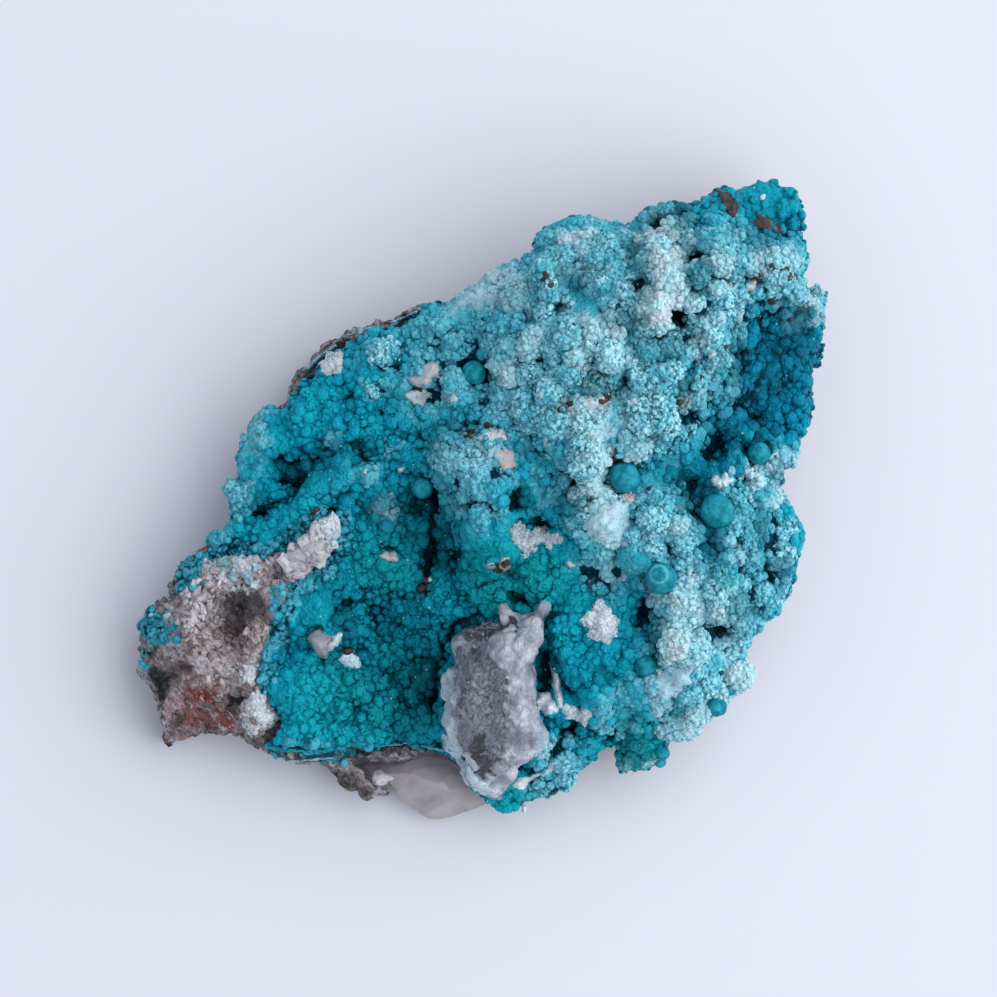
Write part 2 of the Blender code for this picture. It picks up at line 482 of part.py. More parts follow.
CRUST_RIM = filled_out(sheet_points(LEFT_RIM + LAYERED_RIM + FAR_RIM + NEAR_RIM + MATRIX_RIM))[::-1]
ROCK_EDGE = filled_out(sheet_points(
    LEFT_END + HIDDEN_LEFT_EDGE + LAYERED_SIDE + HIDDEN_FAR_EDGE + QUARTZ_BACK + BROWN_FOOT + MATRIX_FOOT
))[::-1]
KNOBS = knobs()


def crust_form(points):
    """The crust's general height, before its lumps and rim."""
    return surveyed(points, sheet_heights(CRUST_SURVEY))


def seat_height(points):
    """The top of the rock under the crust."""
    return SEAT_SHARE * surveyed(points, sheet_heights(CRUST_SURVEY), SEAT_SOFTNESS)


def crust_under(points):
    """The crust's underside: on the rock with a gap, and falling where it hangs over the rock's edge."""
    outside = np.maximum(-distance_inside(points, ROCK_EDGE) - SEAM_GAP, 0)
    over_rock = seat_height(points) + SEAT_GAP
    return np.maximum(over_rock - CRUST_OVERHANG_FALL * outside, np.minimum(over_rock, CRUST_LOWEST))


def crust_height(points):
    """The crust's top."""
    form = crust_form(points)
    height = form + domes(points, LUMPS + KNOBS) + ridges(points)
    for outline, rise in STEPS:
        depth = distance_inside(points, sheet_points(outline))
        height += rise * smooth_step(depth, -STEP_EDGE_WIDTH, STEP_EDGE_WIDTH)
    nearness = 1 - np.clip(distance_inside(points, CRUST_RIM) / RIM_WIDTH, 0, 1)
    on_rock = smooth_step(distance_inside(points, ROCK_EDGE), 0.4, 1.6)
    fall = RIM_SHARE + (RIM_SHARE_ON_ROCK - RIM_SHARE) * on_rock
    height -= fall * (form - seat_height(points)) * nearness ** 2
    seat = surveyed(points, sheet_heights(NODULE_SEAT))
    under_nodule = smooth_step(distance_inside(points, sheet_points(NODULE_RIM)), -1.4, -0.2)
    height += (seat - height) * under_nodule
    return np.maximum(height, crust_under(points) + LEAST_CRUST)


def cup_points(ball):
    """The crust's points in and round the cup of one ball, as plan places with heights."""
    right, down, half_width, half_depth, rise = ball
    centre = np.array([(right, -down)])
    surface = crust_height(centre)[0]
    radius = max(half_width, half_depth)
    room = radius + CUP_ROOM
    middle = surface + rise * radius
    found = [(right, -down, middle - room)]
    for share, height in ((0.72, middle - 0.694 * room), (1.0, surface)):
        for side in range(CUP_SIDES):
            angle = 2 * math.pi * (side + share) / CUP_SIDES
            found.append((
                right + share * room * math.cos(angle), -down + share * room * math.sin(angle), height,
            ))
    return np.array(found)


def chrysocolla_crust():
    cups = [cup_points(ball) for ball in BALLS]
    loose = hexagon_grid(CRUST_RIM, CRUST_TOP_STEP, 0.55 * CRUST_TOP_STEP)
    for ball, cup in zip(BALLS, cups):
        away = np.linalg.norm(loose - cup[0, :2], axis=1)
        loose = loose[away > max(ball[2:4]) + CUP_ROOM + 0.5]
    marks = np.vstack(cups)
    flat, top_faces = triangulated(CRUST_RIM, [], np.vstack([loose, marks[:, :2]]))
    heights = crust_height(flat)
    heights[-len(marks):] = marks[:, 2]
    count = len(CRUST_RIM)
    top_rim = heights[:count]

    over_air = distance_inside(CRUST_RIM, ROCK_EDGE) < 0
    low_rim = tucked(CRUST_RIM, 0.3)
    low_rim[over_air] = tucked(CRUST_RIM, 0.7)[over_air]
    shoulder = grown(ROCK_EDGE, SEAM_GAP + 0.05)
    chain = chained(shoulder, distance_inside(shoulder, low_rim) > 0.4)
    grid = clear_of(hexagon_grid(low_rim, HIDDEN_STEP, 0.4 * HIDDEN_STEP), [chain[0]], 1.0)
    under_flat, under_faces = triangulated(low_rim, [chain], grid)
    under = crust_under(under_flat)
    under[:count] = np.minimum(under[:count], top_rim - 0.5 * LEAST_CRUST)

    chance = random.Random(SEED)
    inset = np.array([chance.uniform(0.0, 0.35) for _ in range(count)])
    middle = CRUST_RIM + (low_rim - CRUST_RIM) * inset[:, None]
    ring = raised(middle, 0.45 * top_rim + 0.55 * under[:count])
    points, faces = closed_shell(
        raised(flat, heights), top_faces, [ring], raised(under_flat, under), under_faces, count
    )
    return solid("chrysocolla_crust", points, faces, CRUST_FINISH, 60)


def host_rock():
    beyond = grown(CRUST_RIM, SEAM_GAP + 0.15)
    foot = chained(beyond, distance_inside(beyond, ROCK_EDGE) > 0.5)
    bank = grown(CRUST_RIM, SEAM_GAP + 0.8)
    on_crest = (distance_inside(bank, ROCK_EDGE) > 0.5) & (distance_inside(bank, CRUST_RIM) < -0.9)
    crest = chained(bank, on_crest)
    seams = [foot[0], crest[0]]
    covered = clear_of(hexagon_grid(ROCK_EDGE, HIDDEN_STEP, 0.4 * HIDDEN_STEP), seams, 1.2)
    covered = covered[distance_inside(covered, CRUST_RIM) > 1.0]
    bare = clear_of(hexagon_grid(ROCK_EDGE, ROCK_FACE_STEP, 0.5 * ROCK_FACE_STEP), seams, 0.7)
    bare = bare[distance_inside(bare, CRUST_RIM) < -0.8]
    flat, top_faces = triangulated(ROCK_EDGE, [foot, crest], np.vstack([covered, bare]))

    nearness = 1 - np.clip(distance_inside(flat, ROCK_EDGE) / 1.5, 0, 1)
    under_crust = seat_height(flat) - ROCK_SHOULDER * nearness
    in_view = surveyed(flat, sheet_heights(ROCK_SURVEY), 0.8) + domes(flat, ROCK_LUMPS)
    heights = np.where(distance_inside(flat, CRUST_RIM) < -0.8, in_view, under_crust)

    count = len(ROCK_EDGE)
    chance = random.Random(SEED)
    rings = []
    for share, inset, roughness in ROCK_LEDGES:
        loop = tucked(ROCK_EDGE, inset)
        loop += (ROCK_EDGE - loop) * np.array([[chance.uniform(0, 0.4)] for _ in range(count)])
        rough = np.array([chance.uniform(-roughness, roughness) for _ in range(count)])
        rings.append(raised(loop, share * heights[:count] + rough))
    base = tucked(ROCK_EDGE, ROCK_BASE_INSET)
    base_flat, base_faces = triangulated(base, [], np.empty((0, 2)))
    points, faces = closed_shell(
        raised(flat, heights), top_faces, rings, raised(base_flat, 0 * base_flat[:, 0]), base_faces, count
    )
    return solid("host_rock", points, faces, ROCK_FINISH, 35)


def quartz_mass():
    edge = filled_out(sheet_points(QUARTZ_TUCKED_EDGE + QUARTZ_FRONT))
    flat, top_faces = triangulated(edge, [], hexagon_grid(edge, QUARTZ_STEP, 0.6 * QUARTZ_STEP))
    heights = surveyed(flat, sheet_heights(QUARTZ_SURVEY), 0.8)
    count = len(edge)
    waist = raised(tucked(edge, 0.15), 0.5 * heights[:count])
    base = tucked(edge, 0.8)
    base_flat, base_faces = triangulated(base, [], np.empty((0, 2)))
    points, faces = closed_shell(
        raised(flat, heights), top_faces, [waist],
        raised(base_flat, np.full(len(base_flat), QUARTZ_FLOOR)), base_faces, count,
    )
    return solid("quartz_mass", points, faces, QUARTZ_FINISH, 25)


def chalcedony_nodule():
    edge = filled_out(sheet_points(NODULE_RIM))[::-1]
    flat, top_faces = triangulated(edge, [], hexagon_grid(edge, NODULE_STEP, 0.5 * NODULE_STEP))
    nearness = 1 - np.clip(distance_inside(flat, edge) / 1.6, 0, 1)
    heights = surveyed(flat, sheet_heights(NODULE_SURVEY), 1.0) + domes(flat, NODULE_LUMPS)
    heights -= NODULE_SHOULDER * nearness ** 2
    count = len(edge)
    low_edge = tucked(edge, NODULE_UNDERCUT)
    loose = hexagon_grid(low_edge, 2 * NODULE_STEP, 0.5 * NODULE_STEP)
    low_flat, low_faces = triangulated(low_edge, [], loose)
    low = surveyed(low_flat, sheet_heights(NODULE_SEAT)) + NODULE_LIFT
    waist = raised(0.75 * edge + 0.25 * low_edge, 0.55 * heights[:count] + 0.45 * low[:count])
    points, faces = closed_shell(
        raised(flat, heights), top_faces, [waist], raised(low_flat, low), low_faces, count
    )
    return solid("chalcedony_nodule", points, faces, NODULE_FINISH, 60)


def malachite_ball(number, ball):
    right, down, half_width, half_depth, rise = ball
    surface = crust_height(np.array([(right, -down)]))[0]
    radius = max(half_width, half_depth)
    body = bmesh.new()
    bmesh.ops.create_icosphere(body, subdivisions=2, radius=1)
    body.verts.ensure_lookup_table()
    shape = np.array([vertex.co for vertex in body.verts]) * (half_width, half_depth, 0.95 * radius)
    faces = [[vertex.index for vertex in face.verts] for face in body.faces]
    body.free()
    centre = np.array([right, -down, surface + rise * radius])
    return solid(f"malachite_ball_{number}", shape + centre, faces, MALACHITE_FINISH, 80)


def stand_on_origin(pieces):
    """Hangs the pieces from an empty that lays the length along X and centres their box on the origin."""
    turn = Matrix.Rotation(-math.radians(LONG_AXIS_DEGREES), 4, "Z")
    turned = np.array([
        turn @ vertex.co for piece in pieces for vertex in piece.data.vertices
    ])
    low, high = turned.min(axis=0), turned.max(axis=0)
    specimen = bpy.data.objects.new("specimen", None)
    bpy.context.scene.collection.objects.link(specimen)
    specimen.location = (-(low[0] + high[0]) / 2, -(low[1] + high[1]) / 2, -low[2])
    specimen.rotation_euler = (0, 0, -math.radians(LONG_AXIS_DEGREES))
    for piece in pieces:
        piece.parent = specimen


for old in list(bpy.data.objects):
    bpy.data.objects.remove(old, do_unlink=True)

stand_on_origin(
    [host_rock(), chrysocolla_crust(), quartz_mass(), chalcedony_nodule()]
    + [malachite_ball(number, ball) for number, ball in enumerate(BALLS, start=1)]
)
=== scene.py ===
"""A hand specimen of chrysocolla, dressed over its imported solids.

The crust, the rock and the nodule are finer copies of their solids, with relief and with painted
measures, such as how dusted or how deep in colour a place is, kept as attributes that the finishes
read. One Geometry Nodes tree gives them their botryoidal relief, and another grows grains, knobs,
crystals and crumbs on them. Films, flakes and lumps are thin shells laid over what is below them.

Places are given on a plan sheet seen from above, as (right, down) in millimetres, which
frame_place and sheet_places turn into the frame and back.
"""

import math
import random

import bmesh
import bpy
import numpy as np
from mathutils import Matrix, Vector
from mathutils.bvhtree import BVHTree
from mathutils.geometry import delaunay_2d_cdt


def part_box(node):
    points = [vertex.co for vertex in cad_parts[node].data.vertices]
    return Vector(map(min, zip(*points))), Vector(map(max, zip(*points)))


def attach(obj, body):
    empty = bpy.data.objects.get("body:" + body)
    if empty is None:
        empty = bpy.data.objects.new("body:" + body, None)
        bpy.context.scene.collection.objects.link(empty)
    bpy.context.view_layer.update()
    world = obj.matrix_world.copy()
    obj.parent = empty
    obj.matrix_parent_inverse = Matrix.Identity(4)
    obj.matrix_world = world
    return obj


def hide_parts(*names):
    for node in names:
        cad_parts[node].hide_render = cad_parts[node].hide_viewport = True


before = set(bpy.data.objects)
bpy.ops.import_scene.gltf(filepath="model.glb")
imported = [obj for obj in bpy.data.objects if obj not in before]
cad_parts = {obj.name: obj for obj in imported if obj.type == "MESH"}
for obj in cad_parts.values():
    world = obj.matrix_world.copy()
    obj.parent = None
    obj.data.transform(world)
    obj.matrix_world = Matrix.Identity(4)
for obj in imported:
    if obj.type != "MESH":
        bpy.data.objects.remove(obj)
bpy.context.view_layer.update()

# The plan sheet against the frame.
MM = 0.001
LONG_AXIS = math.radians(40.7)
FIRST_BALL = (47.4, 37.3)
SHEET_MIDDLE = (49.85, 49.85)

# The view: its width at a middle height of the specimen, through a long lens.
VIEW_WIDTH = 99.7
VIEW_HEIGHT = 13.0
LENS = 500.0
SENSOR = 36.0


def frame_place(right, down, height):
    """A place of the plan sheet, in the frame, in metres."""
    across = right * math.cos(LONG_AXIS) - down * math.sin(LONG_AXIS)
    along = -right * math.sin(LONG_AXIS) - down * math.cos(LONG_AXIS)
    return Vector((across * MM, along * MM, height * MM)) + SHEET_SHIFT


def sheet_places(points):
    """Frame points as plan places (right, down) with their heights, in millimetres."""
    across, along, height = ((points - np.array(SHEET_SHIFT)) / MM).T
    right = across * math.cos(LONG_AXIS) - along * math.sin(LONG_AXIS)
    down = -across * math.sin(LONG_AXIS) - along * math.cos(LONG_AXIS)
    return np.column_stack([right, down, height])


# The sheet is shifted so that the first ball lies over its solid.
SHEET_SHIFT = Vector((0, 0, 0))
ball_low, ball_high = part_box("malachite_ball_1")
SHEET_SHIFT = (ball_low + ball_high) / 2 - frame_place(*FIRST_BALL, 0)
SHEET_SHIFT.z = 0


# ---------------------------------------------------------------- measures painted on the surfaces
# Each is a list of ovals: (right, down, half width, half depth, strength), and its turn in degrees
# where it has one.

DUSTED = [
    (66.5, 27, 3.2, 6, 0.95), (72.5, 28, 2.4, 6, 0.75), (60, 25.5, 6, 4.6, 0.62, -20),
    (76.5, 27.4, 3.6, 3.2, 0.6, 20), (66, 31, 5, 5, 0.85), (71, 34, 2.2, 6, 0.7, -15),
    (60, 34.5, 7, 4.6, 0.75, 30), (55, 30, 6, 5, 0.6, 30), (52, 35, 6, 4, 0.55, -30),
    (46, 32, 6, 2.6, 0.45, -30), (38, 34.5, 4, 1.6, 0.15, -30), (56, 39, 8, 3.6, 0.7),
    (59, 43, 2.6, 8, 1, 8), (65, 41, 4.4, 5, 0.8), (60, 50, 3, 4, 0.9), (47.5, 46, 4.4, 3.8, 0.47),
    (46.8, 50, 2.6, 2.2, 0.4), (54, 43, 3, 3, 0.5), (65.5, 52, 4.4, 3, 0.62, 20),
    (74.3, 53, 3, 5, 0.4), (68, 57, 3, 3.4, 0.6), (71, 62, 5, 6, 0.7, 30),
    (67, 65.5, 2.6, 4.4, 0.78, 20), (72, 68.6, 2.4, 2.6, 0.75), (76.5, 60, 2, 2, 0.4),
    (44, 38, 5, 3, 0.45, -20), (36.6, 46.8, 1.6, 1, 0.4, 20), (80.8, 30, 1.6, 2.2, 0.7),
    (25.2, 43.6, 1.8, 3.4, 0.6, 10), (77, 47, 2.6, 1.8, 0.75, -40), (60.6, 57.2, 2.4, 1.2, 0.45),
    (73, 22.6, 2.2, 1.2, 0.5), (57, 76.8, 2.2, 1.6, 0.6, -35), (54.4, 79.2, 2.2, 1, 0.6, -20),
    (42, 34, 3, 2, 0.4, -30), (46.2, 36, 1.4, 1.6, 0.6), (73.4, 63.8, 1.6, 1.4, 0.9),
    (38.6, 35.2, 1.1, 0.9, 0.75), (37.5, 38.7, 1, 0.6, 0.6), (33.2, 44.2, 1.1, 1, 0.55),
    (39.6, 44.8, 0.7, 0.6, 0.5), (42, 35.8, 1.2, 0.8, 0.5), (35, 47.6, 2, 0.8, 0.4, -20),
    (42.6, 33.4, 1.2, 1, 0.6), (50, 41, 3, 2.6, 0.5), (63, 56.4, 2.4, 1.6, 0.2),
    (38.8, 51.2, 0.9, 1.3, 0.5), (46.4, 53.6, 1.4, 0.9, 0.3), (71.6, 69.8, 3, 2.2, 0.95),
    (68.4, 71.8, 1.8, 1.8, 0.75), (49.4, 51.4, 1.4, 1.6, 0.5), (55.2, 75.4, 1.2, 1.6, 0.7),
    (60.8, 56, 2.2, 2.2, 0.6), (51, 28.6, 3.8, 2.8, 0.66, -30), (78, 59, 1.6, 1.8, 0.75),
    (78.2, 54, 1.4, 2.2, 0.9), (54, 42, 2, 2, 0.7), (23.6, 49.8, 1.2, 2.8, 0.5, 20),
    (70.4, 58.8, 2.2, 2.4, 0.75), (68.4, 42, 1.4, 1.4, 0.9), (58.6, 56.4, 1.6, 1.2, 0.4),
    (66, 53.6, 2.6, 1.8, 0.75), (61.4, 29.8, 1.8, 2.2, 0.95), (54, 25.4, 2, 1.4, 0.55, -20),
    (53.8, 30.2, 2, 1.4, 0.9), (49.3, 30, 1.8, 1.2, 0.85, -30), (62, 70, 2.2, 1.6, 0.35),
    (21.6, 53.2, 1.4, 1.2, 0.5, -30), (42.4, 39.4, 1.8, 1.4, 0.32, -20), (60.4, 59, 1.6, 1.2, 0.4),
    (61.2, 73.2, 1.6, 1.2, 0.5), (54, 49, 1.2, 1.6, 0.4), (63.6, 27.6, 1, 1.4, 0.6),
    (63.6, 34.8, 1.8, 1.8, 1), (36, 74.8, 8, 0.5, 0.4), (39.6, 51.6, 1, 1.2, 0.6),
    (44.6, 76, 1, 1.4, 0.5), (19.6, 54.6, 1.6, 1, 0.4, -35),
]
DEEP = [
    (77.6, 36.5, 4.8, 7, 1), (76, 40.5, 4.6, 4.2, 1), (72, 44, 3, 3.4, 1), (67, 47.4, 5, 2.2, 1, -20),
    (58.4, 29.8, 1.5, 3, 1, -38), (77, 21.8, 4, 3, 0.85), (66, 22, 4, 1.3, 0.8, -10),
    (63.2, 25.4, 1.2, 2, 0.5), (26, 49, 2, 3, 0.3), (31, 46.6, 4, 2, 0.5), (38, 52, 3, 4, 0.3),
    (77.4, 56.8, 1.8, 1.8, 0.8), (42, 52, 3, 3, 0.3), (56, 50, 3, 2, 0.4), (71, 52.6, 1.5, 5, 0.9, -4),
    (75.4, 52.5, 0.9, 1.6, 0.5), (64.6, 60, 1.6, 4, 0.6), (74, 60.6, 1.3, 1, 0.7), (58, 67, 2, 3, 0.3),
    (28, 66, 1.6, 4, 0.4, 10),
]
# Shaded valleys and hollows, where the crust is at its darkest.
SHADED = [
    (41.8, 50.4, 1.8, 1.4, 1), (43.4, 54.8, 1.9, 3.4, 1), (42.2, 68.4, 1.6, 4.2, 1),
    (39.6, 62.4, 2.4, 1.6, 0.8), (41, 67, 3.2, 8, 0.75), (38.5, 64, 4, 9, 0.45),
    (42, 52, 3.4, 4.6, 0.7), (34.6, 61.8, 1.8, 2.4, 0.7), (30.8, 63.4, 1.1, 2, 0.7),
    (29.6, 47.6, 1.9, 1.1, 0.9, -15), (30.4, 46.4, 3, 1.6, 0.4, -30), (36, 44.8, 2.2, 1.1, 0.6),
    (26, 51, 1.4, 1.4, 0.6), (37.6, 50.8, 1.4, 1.8, 0.6), (47.8, 62.2, 2, 2.4, 0.55),
    (46, 57, 4.6, 3.4, 0.4), (52.2, 59.6, 1.6, 1, 0.9), (54.8, 66.2, 1.2, 3, 0.85),
    (57.6, 73.3, 1.6, 1, 0.75), (56.2, 50.2, 2.4, 2, 0.5), (51.8, 49.6, 0.9, 1.2, 0.7),
    (64.5, 60.6, 1, 2.8, 0.38), (63.4, 57.4, 1, 2, 0.3), (79.6, 33.6, 2.4, 3.2, 0.6),
    (77, 38.4, 1.4, 2.2, 0.55), (76, 42.4, 1.2, 1.4, 0.7), (72.4, 43.6, 1.6, 2.2, 0.5),
    (73.4, 37.6, 0.8, 1.2, 0.4), (70.9, 52.4, 1.2, 4.8, 0.9, -4), (68.6, 48.6, 2.2, 1.4, 0.6, 20),
    (77.4, 56.7, 1.5, 1.5, 0.5), (73.6, 61, 1.8, 1.4, 0.8), (72, 63.3, 1.2, 0.8, 0.6),
    (73.2, 27.2, 1, 1.4, 0.45), (63, 75, 1.3, 2.4, 0.6), (67.6, 70.6, 1, 1.4, 0.6),
    (63.3, 25.2, 0.8, 2.2, 0.8), (70.1, 27.2, 0.6, 3.2, 0.8), (64.3, 29, 0.9, 1.2, 0.8),
    (65.6, 34.4, 1.5, 1.2, 0.6), (63.4, 32.3, 1.1, 1.3, 0.8), (61.2, 32.2, 1.2, 0.9, 0.45),
    (70.8, 63.8, 1.1, 0.9, 0.5), (68.2, 39.6, 1, 1.6, 0.5), (56.8, 28.2, 1.4, 1.4, 0.6),
    (62.2, 47.6, 1.2, 1.2, 0.6), (67.2, 21.6, 2.4, 0.7, 0.7, -14), (72.2, 19.8, 1, 1, 0.6),
    (76.6, 22.2, 1.6, 1, 0.5), (69, 33.6, 0.8, 2.4, 0.5, -30), (47.5, 37, 2.4, 1.6, 0.35),
    (45, 42.8, 2.6, 0.7, 0.5), (53, 45.4, 2.4, 0.9, 0.4, 20), (59, 38, 0.6, 0.5, 0.4),
    (66.4, 36.4, 2, 0.8, 0.4), (51.4, 30.2, 1.4, 0.9, 0.55), (78, 30.4, 1.2, 0.9, 0.55),
    (52, 56.8, 3, 1.2, 0.4), (75.8, 24.6, 1.6, 1.1, 0.5), (75.7, 52.8, 1, 2.6, 0.6),
    (73.3, 36.4, 1.5, 2.4, 0.7), (73.2, 32.4, 1, 1.2, 0.4), (44.2, 44.6, 1.2, 1.2, 0.5),
    (68.4, 22.6, 1.4, 0.9, 0.6), (78.2, 47.1, 1.6, 1, 0.6), (68.6, 51.2, 1.2, 0.9, 0.5),
    (32.6, 66.4, 1.6, 0.9, 0.5), (33.4, 59.4, 1, 2.4, 0.5), (40, 64.6, 2.4, 4, 0.5),
    (65.8, 63.2, 1.1, 2, 0.7), (34.9, 63.7, 1.8, 1.4, 0.75), (39.4, 39.7, 1.2, 0.9, 0.5),
    (75.6, 28.1, 1, 0.8, 0.5), (36.4, 66, 2.4, 2, 0.25),
]
# Crust brightened: its colour moves up the ramp towards the crest tone, partly its own brighter colour and
# partly painted light.
BRIGHTENED = [
    (59.6, 68.4, 4.4, 4.6, 1), (60, 63, 3, 3, 0.7), (57, 56, 5, 3, 0.7), (51, 57, 4, 3, 0.6),
    (28.6, 68, 2.6, 6, 0.7), (50.5, 52, 1.6, 4, 0.8), (62, 22.6, 4, 1.4, 0.8), (26, 46, 2, 5, 0.5, 20),
    (48, 80, 4, 2, 0.6), (30, 52, 6, 2, 0.4, -20), (46, 36, 8, 5, 0.3, -30), (64, 72, 2.6, 2, 0.4),
    (38, 50, 2, 3, 0.3), (47, 57, 3, 3, 0.4), (78, 52, 2, 5, 0.5), (62, 70.4, 3, 3.4, 0.9),
    (60, 57.2, 3.6, 2.6, 1), (53, 28.6, 5.4, 4, 0.9, 30), (61.4, 28.6, 2.6, 3.2, 0.8),
    (54, 46, 1.8, 4.6, 0.9), (32.6, 43.8, 2.4, 1.6, 0.8, -30), (23.6, 50, 1.6, 3.4, 0.8, 20),
    (42.4, 39.4, 2, 1.6, 1), (56.6, 75.6, 2, 1.4, 0.5), (61.2, 73.4, 2, 1.4, 0.9),
    (71, 70, 3, 2.4, 0.8), (49.4, 51.6, 1.4, 2, 0.8), (61.2, 59.6, 2.4, 1.8, 0.6),
    (66, 54, 2.6, 2, 0.5), (75.6, 31.6, 2, 2.2, 0.9), (76.2, 63.6, 1.6, 1.6, 0.5),
    (44.4, 49, 1.4, 1.6, 0.8), (27.4, 46.6, 1.4, 1.2, 0.8),
]
GREENED = [
    (57, 58, 6, 4, 0.3), (63.5, 75, 3, 3, 0.5), (36, 70, 7, 4, 0.4), (66.5, 42.3, 3, 1.3, 0.7),
    (73.4, 58.6, 1.6, 1, 0.7), (52, 58, 5, 4, 0.5), (39, 56, 4, 3, 0.4), (76, 45.4, 1.4, 1, 0.3),
    (53.5, 79.5, 3, 1.6, 0.8),
]
# Heads frosted nearly white.
FROSTED = [
    (78, 49.4, 0.9, 1.3, 0.7), (57.8, 23.9, 1.6, 0.9, 0.9), (66.2, 23.7, 2.4, 0.9, 0.8),
    (69.2, 24, 1, 0.6, 0.4), (66.8, 26.5, 2.2, 1.5, 0.75), (71.4, 26.4, 1.6, 1.2, 0.6, 20),
    (75.3, 26.8, 1, 0.9, 0.6), (66, 30.8, 2.4, 2.3, 0.95), (71.8, 28.8, 2, 0.9, 0.65, -15),
    (78.4, 26.4, 1.7, 1.7, 0.5), (59.8, 33.2, 1.9, 1.3, 0.7), (61.7, 35.9, 1.4, 1.2, 0.4),
    (58.2, 36.4, 1.3, 1.3, 0.65), (59, 40.6, 1.5, 1, 0.8), (59.8, 43, 1.3, 1.6, 0.75),
    (60, 46, 1.5, 2, 0.85), (59.6, 49.2, 1.6, 1.6, 0.8), (62.8, 42.4, 1, 1.6, 0.5),
    (63.4, 39.8, 0.6, 0.6, 0.9), (70.5, 32.6, 1.3, 1.5, 0.55), (69.4, 35, 0.9, 1.7, 0.5, -20),
    (70, 39, 1, 1.3, 0.4), (81, 29.6, 1.5, 1.4, 0.5), (82, 31.4, 1, 1, 0.5),
    (77.2, 46, 1.6, 0.8, 0.55, -40), (75.4, 47.6, 0.7, 0.7, 0.9), (72, 48.4, 1, 0.9, 0.9),
    (75, 49, 0.8, 0.8, 0.6), (67.9, 62, 1.2, 2.6, 0.66), (69.2, 60, 1, 3.2, 0.65, -10),
    (66.2, 58.8, 1.9, 1.5, 0.6), (66, 70.6, 0.8, 1, 0.6), (71.3, 61.5, 1.5, 1.6, 0.6),
    (64.6, 76.3, 0.8, 0.7, 0.8), (62.6, 76.8, 0.7, 0.6, 0.7), (46.5, 45.6, 2.8, 1.8, 0.25),
    (52.7, 35.1, 1.1, 1.1, 0.85), (50.7, 37, 1, 1, 0.85), (47.6, 29.6, 2.6, 1, 0.65, -28),
    (39, 51, 0.9, 1.3, 0.7), (60.5, 57.2, 1.8, 0.8, 0.5, 15), (54, 39.5, 0.5, 0.5, 0.8),
    (56.7, 39.8, 0.6, 0.5, 0.8), (68.6, 64.6, 1.4, 1.6, 0.75), (73.8, 55.4, 1.2, 1, 0.4),
    (67.4, 52.6, 1.2, 0.7, 0.4, 20), (50, 29, 2.4, 1.4, 0.65, -30), (68.4, 72.6, 1.2, 1, 0.7),
    (71.6, 70.6, 1.6, 1, 0.5), (72.6, 65, 1.4, 1.2, 0.4), (66.2, 68.6, 1, 1.4, 0.5),
    (74, 30.4, 1, 0.8, 0.4), (67, 36.6, 1.2, 0.8, 0.4), (63.4, 44.6, 0.8, 1, 0.5),
    (73.3, 68.6, 1.3, 1.3, 0.85), (61.2, 53.8, 1.6, 1, 0.8), (70.8, 70.8, 1.4, 1.1, 0.75),
    (78.6, 26.9, 1, 0.8, 0.5), (55.4, 75, 0.8, 1.2, 0.5), (60.4, 71.2, 0.8, 0.6, 0.3),
    (21.8, 50.6, 0.5, 2, 0.3, 20),
]
# Smooth bright skins of the crust, without grains.
SMOOTH = [
    (31.3, 60.8, 1.7, 2.1, 1, -20), (33.2, 47.8, 3.6, 0.9, 0.9, -24), (58.6, 30.6, 1, 2.9, 1, -38),
    (51, 52, 0.55, 3.4, 1, -4), (62, 22.7, 2.4, 0.9, 0.9), (46.5, 31, 3.4, 1, 0.8, -28),
    (48, 53.8, 2.8, 1.8, 0.7), (57.3, 58.6, 1.6, 0.8, 0.6), (24.6, 45.5, 0.9, 3, 0.8, 10),
    (67.4, 47, 4, 2.2, 0.6, -15), (36, 75, 7, 0.5, 0.9), (76, 21, 4, 2.6, 0.5),
    (60.5, 45, 1.2, 5.5, 0.7, 8), (19.4, 57.4, 2.6, 2, 0.6, -40),
]
